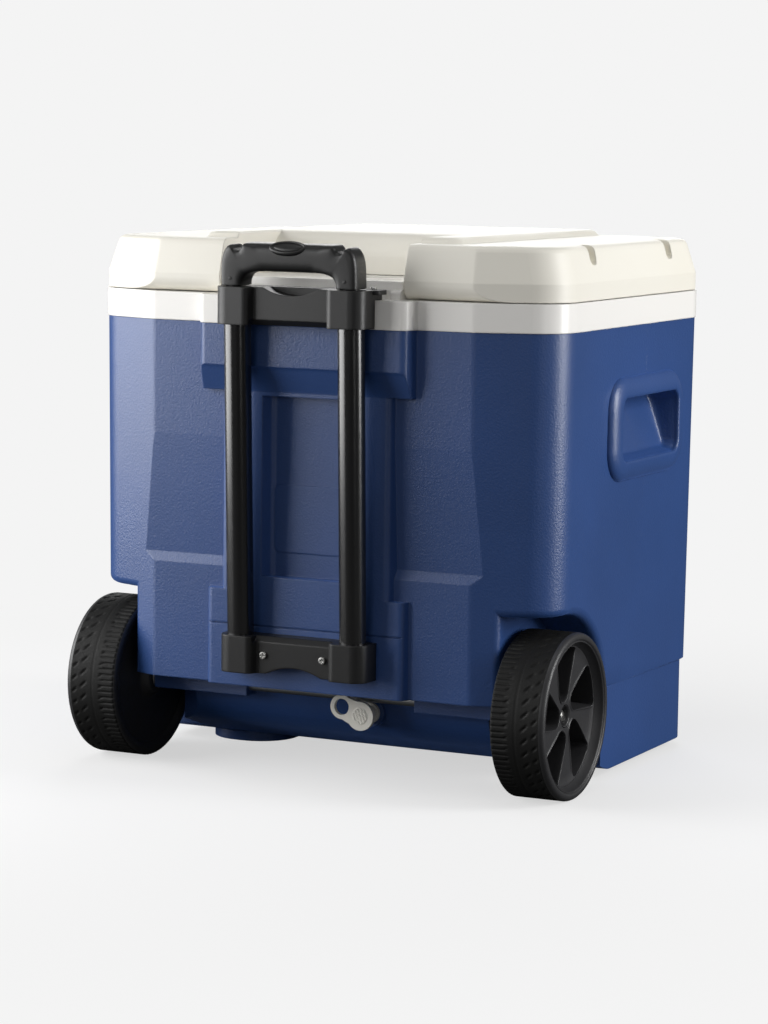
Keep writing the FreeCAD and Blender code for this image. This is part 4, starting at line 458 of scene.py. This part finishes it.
# millimetres; heights are outwards from the shell's side face, growths are how far a ring's outline
# lies outside the pocket's opening
handPocket = {
    "side": 239.0, "middle": (49.3, 325.5), "half": (70.6, 29.1), "corner": 11.5, "cornerSteps": 14,
    "leastCorner": 0.5, "depth": {"top": 29.0, "foot": 9.0},
    # (growth, share of the depth) across the back wall and out round its edge
    "recess": ((-29, 1), (-24, 1), (-18, 1), (-12, 1), (-8, 1), (-6.2, 1), (-4.6, 0.97), (-3.6, 0.9),
               (-2.8, 0.75), (-2.0, 0.5), (-1.2, 0.25), (-0.4, 0.06)),
    # (growth, height) up the collar's lip
    "lip": ((0, 0.6), (0, 2.2), (0.2, 3.3), (0.8, 4.1), (1.8, 4.5)),
    # growth at the crest, reach and drop of the quarter ellipse from there down to the wall
    "slope": (3.0, 16.0, 8.6), "slopeSteps": 14,
    # (growth, height) inside the wall, where it closes unseen
    "hidden": ((16, -8.0), (-2, -36.0), (-29, -36.0)),
}


def makeHandPockets():
    # rounded collar and finger recess: rings that are rounded rectangles, each grown or shrunk and at
    # its own height; the recess's back wall leans out from deep at the top to shallow at the foot
    s = handPocket
    crest, reach, drop = s["slope"]
    slope = [(crest + reach * np.sin(turn), s["lip"][-1][1] - drop * (1 - np.cos(turn)))
             for turn in np.linspace(0, np.pi / 2, s["slopeSteps"])]
    levels = [(grow, 0, share) for grow, share in s["recess"]]
    levels += [(grow, height, 0) for grow, height in (*s["lip"], *slope, *s["hidden"])]
    turns = np.linspace(0, np.pi / 2, s["cornerSteps"]) + np.arange(4)[:, None] * np.pi / 2
    signsY, signsZ = np.array([(1, 1), (-1, 1), (-1, -1), (1, -1)]).T[:, :, None]
    rings = []
    for grow, height, share in levels:
        radius = min(max(s["corner"] + grow, s["leastCorner"]), s["half"][1] + grow)
        straightY, straightZ = (half + grow - radius for half in s["half"])
        y = (signsY * straightY + radius * np.cos(turns)).ravel()
        z = (signsZ * straightZ + radius * np.sin(turns)).ravel()
        upShare = np.clip((z + s["half"][1]) / (2 * s["half"][1]), 0, 1)
        depth = s["depth"]["foot"] + (s["depth"]["top"] - s["depth"]["foot"]) * upShare
        rings.append(np.c_[height - share * depth, y, z])
    grid = np.array(rings)
    # the two end rings are flat on the pocket's middle line, so their facing points merge
    for row in (0, -1):
        grid[row, :, 2] = grid[row, :, 2].mean()
    points, faces = grid.reshape(-1, 3), gridFaces(*grid.shape[:2])
    y, z = s["middle"]
    for side, name in ((1, "right"), (-1, "left")):
        place = np.c_[side * (s["side"] + points[:, 0]), y + points[:, 1], z + points[:, 2]]
        addPiece("hand_pocket_" + name, place, faces, "bluePolyethylene", "tub")


# millimetres in the grip's own frame: x across, up along the tubes from the grip's foot,
# deep towards the cooler
grip = {
    "foot": (-209.24, 456.1), "lean": 0.038372, "halfDeep": 13.0, "around": 64, "between": 8,
    "squareness": (3.3, 5.5), "squareAt": (34, 46), "footRise": 0.6, "endShares": (0, 0.5, 0.97),
    # (hand opening's edge x, up, outside edge x, up) from a leg's foot over the horn and the notch
    # to the middle of the bar
    "edges": ((47.3, 0, 67.9, 0), (47.1, 2.5, 67.9, 8), (46.6, 4.5, 67.8, 16), (45.8, 6.3, 67.2, 23),
              (44.9, 7.8, 65.6, 29.4), (43.9, 9.0, 62.8, 34.2), (43.1, 9.8, 60.0, 36.4),
              (42.4, 10.2, 58.0, 36.3), (41.6, 10.6, 56.8, 34.4), (40.6, 11.1, 55.2, 32.6),
              (38.8, 11.8, 52.4, 32.0), (37.0, 12.3, 49.4, 32.4), (35.4, 12.6, 47.4, 34.4),
              (33, 13.0, 45.8, 37.2), (30, 13.2, 43.0, 38.5), (20, 13.4, 30, 38.6), (10, 13.5, 15, 38.6),
              (0, 13.5, 0, 38.6)),
    "buttonAt": (-10.2, 35.4), "buttonTilt": (-0.72, 0.694), "tip": 0.1,
    # (half length, half width, height) rings of the raised oval collar and of the domed button in it
    "collar": ((19.0, 7.6, -2.5), (18.8, 7.5, -0.6), (18.3, 7.1, 0.7), (17.4, 6.5, 1.4), (16.4, 5.9, 1.4),
               (15.5, 5.4, 0.9), (15.0, 5.1, 0), (14.6, 4.9, -2.5), (0.1, 0.1, -3.0)),
    "button": ((14.2, 4.6, -3.0), (14.2, 4.6, 0), (13.8, 4.3, 0.7), (12.8, 3.8, 1.1), (9.5, 2.8, 1.5),
               (5.0, 1.5, 1.7), (0.1, 0.1, 1.75)),
}


def placeOnGrip(points):
    # from the grip's own frame to the cooler's
    lean = grip["lean"]
    along = math.sqrt(1 - lean ** 2)
    y = grip["foot"][0] - lean * points[:, 1] + along * points[:, 2]
    z = grip["foot"][1] + along * points[:, 1] + lean * points[:, 2]
    return np.c_[points[:, 0], y, z]


def makeGrip():
    # the grip is swept from one leg's foot over the bar to the other: each section is a superellipse
    # between the hand opening's edge and the outside edge, |a| ^ squareness + |b| ^ squareness = 1
    s = grip
    half = np.array(s["edges"])
    edges = np.vstack([half, (half * [-1, 1, -1, 1])[-2::-1]])
    # the curve through the edges needs one more pair beyond each end
    padded = np.vstack([2 * edges[0] - edges[1], edges, 2 * edges[-1] - edges[-2]])
    t = np.linspace(0, 1, s["between"], endpoint=False)[None, :, None]
    path = catmullRom(*(padded[shift:len(padded) - 3 + shift][:, None, :] for shift in range(4)), t)
    path = np.vstack([path.reshape(-1, 4), edges[-1]])
    inner, outer = path[:, :2], path[:, 2:]
    turn = np.arange(s["around"]) * 2 * np.pi / s["around"]
    # the bar is rounder than the legs and the horns
    power = 2 / np.interp(np.abs(outer[:, :1]), s["squareAt"], s["squareness"])
    span, deep = (np.sign(wave) * np.abs(wave) ** power for wave in (np.cos(turn), np.sin(turn)))
    middle, reach = (inner + outer) / 2, (outer - inner) / 2
    section = middle[:, None, :] + reach[:, None, :] * span[..., None]
    grid = np.concatenate([section, s["halfDeep"] * deep[..., None]], axis=-1)
    # both feet are closed by rings that shrink to a point, below a small chamfer
    ends = []
    for row in (0, -1):
        centre = grid[row].mean(axis=0)
        ends.append([centre + (grid[row] - centre) * share for share in s["endShares"]])
        grid[row, :, 1] += s["footRise"]
    grid = np.concatenate([ends[0], grid, ends[1][::-1]])
    shape = addPiece("grip_moulded", placeOnGrip(grid.reshape(-1, 3)), gridFaces(len(grid), s["around"]),
                     "blackNylon", "handle")
    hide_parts("grip_shell", "grip_cover")
    # the oval collar and the button stand square to the grip's bevel
    tiltDeep, tiltUp = s["buttonTilt"]
    for name, rings, body, node in (("button_collar", s["collar"], "handle", None),
                                    ("button_moulded", s["button"], "button", "release_button")):
        rings = np.array([(s["tip"], s["tip"], rings[0][2]), *rings])
        across = rings[:, 1:2] * np.sin(turn)
        height = rings[:, 2:] + 0 * turn
        deepways = s["buttonAt"][0] + height * tiltDeep + across * tiltUp
        upways = s["buttonAt"][1] + height * tiltUp - across * tiltDeep
        points = np.stack([rings[:, :1] * np.cos(turn), upways, deepways], axis=-1).reshape(-1, 3)
        faces = gridFaces(len(rings), s["around"])
        oval = addPiece(name, placeOnGrip(points), faces, "blackNylon", body)
        if node:
            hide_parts(node)


spring = {"foot": (0, -0.210, 0.4695), "keep": 0.66, "doublesMm": 0.001}  # the foot is in metres


def makeReleaseSpring():
    # the coil is a copy of the spring, with its doubled points merged, carried by the handle
    s = spring
    mesh = nodes["release_spring"].data.copy()
    form = bmesh.new()
    form.from_mesh(mesh)
    bmesh.ops.remove_doubles(form, verts=form.verts, dist=s["doublesMm"] * mm)
    form.to_mesh(mesh)
    form.free()
    mesh.transform(nodes["release_spring"].matrix_world)
    coil = bpy.data.objects.new("release_spring_coil", mesh)
    bpy.context.scene.collection.objects.link(coil)
    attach(coil, "handle")
    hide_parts("release_spring")
    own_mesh(coil)


# millimetres; two sets of ridges, each with the way it is counted along
hatch = {
    "centre": (35.0, 60.0), "face": -136.5, "radius": 8.2, "around": 96, "rings": 34,
    "pitch": 3.0, "height": 0.9, "ways": ((0.95, 0.31), (0.57, 0.82)), "sharpness": 3,
    "lift": 0.05, "fade": 1.5, "sunk": 0.8,
}


def makeCapHatch():
    # crossed ridges on the drain cap, drawn 3 mm apart, coarser than the real ones: a disc whose height
    # is the higher of two cosines, each narrowed to a ridge and faded out at the edge; the back lies
    # inside the cap
    s = hatch
    angle = np.arange(s["around"]) * 2 * np.pi / s["around"]
    radius = np.linspace(s["radius"], 0, s["rings"])[:, None]
    x, z = radius * np.cos(angle), radius * np.sin(angle)
    ridges = [np.abs(np.cos(np.pi * (x * wayX + z * wayZ) / s["pitch"])) ** s["sharpness"]
              for wayX, wayZ in s["ways"]]
    fade = np.clip((s["radius"] - radius) / s["fade"], 0, 1)
    height = s["lift"] + s["height"] * np.maximum(*ridges) * fade
    front = np.stack([x, -height, z], axis=-1)
    back = np.stack([x, s["sunk"] + 0 * x, z], axis=-1)[[-1, 0]]
    grid = np.concatenate([back, front])
    points = grid.reshape(-1, 3) + [s["centre"][0], s["face"], s["centre"][1]]
    faces = gridFaces(*grid.shape[:2])
    ridged = addPiece("drain_cap_hatch", points, faces, "offWhiteVinyl", "drain_cap")


studio = {
    "floorSize": 14.0, "floorColour": "#fbfbfb", "floorBounce": "#585858", "backdropColour": "#f4f4f4",
    "worldGrey": 0.1, "glossyShare": 0.05, "shadowShare": 0.34, "fadeFrom": 0.4, "fadeTo": 1.0,
    # softboxes, in metres and watts
    "left": {"place": (-1.2, -0.79, 0.62), "target": (-0.1, -0.2, 0.36), "size": (1.5, 1.1), "power": 29},
    "rear": {"place": (0.1, -2.7, 0.95), "target": (0, 0, 0.35), "size": (1.0, 0.9), "power": 5},
    "corner": {"place": (1.95, -1.65, 0.7), "target": (0.2, -0.1, 0.3), "size": (0.12, 1.2), "power": 2},
    "right": {"place": (1.75, 0.28, 0.75), "target": (0.2, 0, 0.3), "size": (0.6, 1.2), "power": 28},
    "top": {"place": (0.05, -0.3, 2.0), "target": (0, 0, 0.4), "size": (1.3, 1.1), "power": 5},
    "front": {"place": (-0.9, 2.2, 1.3), "target": (0, 0, 0.3), "size": (1.4, 1.2), "power": 20},
}


def makeStage():
    # pale paper floor: it keeps the shadow near the object and turns into the plain backdrop
    # further out
    s = studio
    mesh = bpy.data.meshes.new("studioFloor")
    half = s["floorSize"] / 2
    corners = [(-half, -half, 0), (half, -half, 0), (half, half, 0), (-half, half, 0)]
    mesh.from_pydata(corners, [], [(0, 1, 2, 3)])
    floor = bpy.data.objects.new("studioFloor", mesh)
    bpy.context.scene.collection.objects.link(floor)
    material, tree, output = newMaterial("palePaper")
    place = addNode(tree, "ShaderNodeTexCoord").outputs["Object"]
    away = addNode(tree, "ShaderNodeVectorMath", {"operation": "LENGTH"}, {0: place})
    fade = addNode(tree, "ShaderNodeMapRange",
                   {"interpolation_type": "SMOOTHSTEP", "From Min": s["fadeFrom"],
                    "From Max": s["fadeTo"], "To Min": 1 - s["shadowShare"], "To Max": 1.0},
                   {"Value": away.outputs["Value"]})
    rays = addNode(tree, "ShaderNodeLightPath")
    share = addNode(tree, "ShaderNodeMath", {"operation": "MULTIPLY"},
                    {0: fade.outputs["Result"], 1: rays.outputs["Is Camera Ray"]})
    # the paper is pale to the camera and greyer to light that bounces off it
    tint = addNode(tree, "ShaderNodeMix",
                   {"data_type": "RGBA", 6: toLinear(s["floorBounce"]), 7: toLinear(s["floorColour"])},
                   {0: rays.outputs["Is Camera Ray"]})
    paper = addNode(tree, "ShaderNodeBsdfDiffuse", links={"Color": tint.outputs[2]})
    plain = addNode(tree, "ShaderNodeEmission",
                    {"Color": toLinear(s["backdropColour"]), "Strength": 1.0})
    mix = addNode(tree, "ShaderNodeMixShader", links={
        0: share.outputs["Value"], 1: paper.outputs["BSDF"], 2: plain.outputs["Emission"]})
    tree.links.new(mix.outputs["Shader"], output.inputs["Surface"])
    mesh.materials.append(material)


def makeWorld():
    # a plain grey world lights the object; the camera sees the near-white backdrop,
    # and glossy rays pick up a small share of it
    s = studio
    world = bpy.data.worlds.new("studioWorld")
    bpy.context.scene.world = world
    world.use_nodes = True
    tree = world.node_tree
    tree.nodes.clear()
    output = tree.nodes.new("ShaderNodeOutputWorld")
    rays = addNode(tree, "ShaderNodeLightPath")
    plain = addNode(tree, "ShaderNodeBackground", {"Color": (1, 1, 1, 1), "Strength": s["worldGrey"]})
    white = addNode(tree, "ShaderNodeBackground",
                    {"Color": toLinear(s["backdropColour"]), "Strength": 1.0})
    seen = addNode(tree, "ShaderNodeMath", {"operation": "MAXIMUM"},
                   {0: rays.outputs["Is Camera Ray"], 1: rays.outputs["Is Transmission Ray"]})
    share = addNode(tree, "ShaderNodeMath",
                    {"operation": "MULTIPLY_ADD", "use_clamp": True, 1: s["glossyShare"]},
                    {0: rays.outputs["Is Glossy Ray"], 2: seen.outputs["Value"]})
    mix = addNode(tree, "ShaderNodeMixShader", links={
        0: share.outputs["Value"], 1: plain.outputs["Background"], 2: white.outputs["Background"]})
    tree.links.new(mix.outputs["Shader"], output.inputs["Surface"])


def addAreaLight(name, place, target, size, power):
    light = bpy.data.lights.new(name, "AREA")
    light.shape = "RECTANGLE"
    light.size, light.size_y = size
    light.energy = power
    lamp = bpy.data.objects.new(name, light)
    bpy.context.scene.collection.objects.link(lamp)
    lamp.location = place
    lamp.visible_camera = False
    lamp.rotation_euler = (Vector(target) - Vector(place)).to_track_quat("-Z", "Y").to_euler()


def makeLights():
    # large softboxes left and right of the handle side, a weak one square to it, a narrow one off the
    # near corner, a wide one above and one on the far side
    for name in ("left", "rear", "corner", "right", "top", "front"):
        s = studio[name]
        addAreaLight(name + "Softbox", s["place"], s["target"], s["size"], s["power"])


# degrees, metres, and millimetres for the sensor
viewpoint = {
    "azimuth": 25.95, "pitch": 6.82, "roll": 0.772, "place": (1.3269, -2.7458, 0.5977),
    "sensor": 36.0, "focalOverHeight": 3.1380859375, "clipEnd": 50.0,
}


def makeCamera():
    # a long lens from behind and to the right, looking slightly down
    s = viewpoint
    camera = bpy.data.cameras.new("camera")
    camera.sensor_fit = "VERTICAL"
    camera.sensor_height = s["sensor"]
    camera.lens = s["sensor"] * s["focalOverHeight"]
    camera.clip_end = s["clipEnd"]
    body = bpy.data.objects.new("camera", camera)
    bpy.context.scene.collection.objects.link(body)
    azimuth, pitch, roll = (math.radians(s[key]) for key in ("azimuth", "pitch", "roll"))
    turn = Matrix.Rotation(azimuth, 4, "Z") @ Matrix.Rotation(math.pi / 2 - pitch, 4, "X")
    turn = turn @ Matrix.Rotation(roll, 4, "Z")
    body.matrix_world = Matrix.Translation(s["place"]) @ turn
    bpy.context.scene.camera = body


bpy.context.scene.view_settings.view_transform = "Standard"
materials = makeMaterials()
print("materials made")
dressNodes()
print("frame dressed")
makeWheelMeshes()
makePushNuts()
print("wheels made")
makeHandPockets()
print("hand pockets made")
makeGrip()
makeReleaseSpring()
print("grip made")
makeCapHatch()
print("drain cap made")
makeStage()
makeWorld()
makeLights()
makeCamera()
print("studio ready")
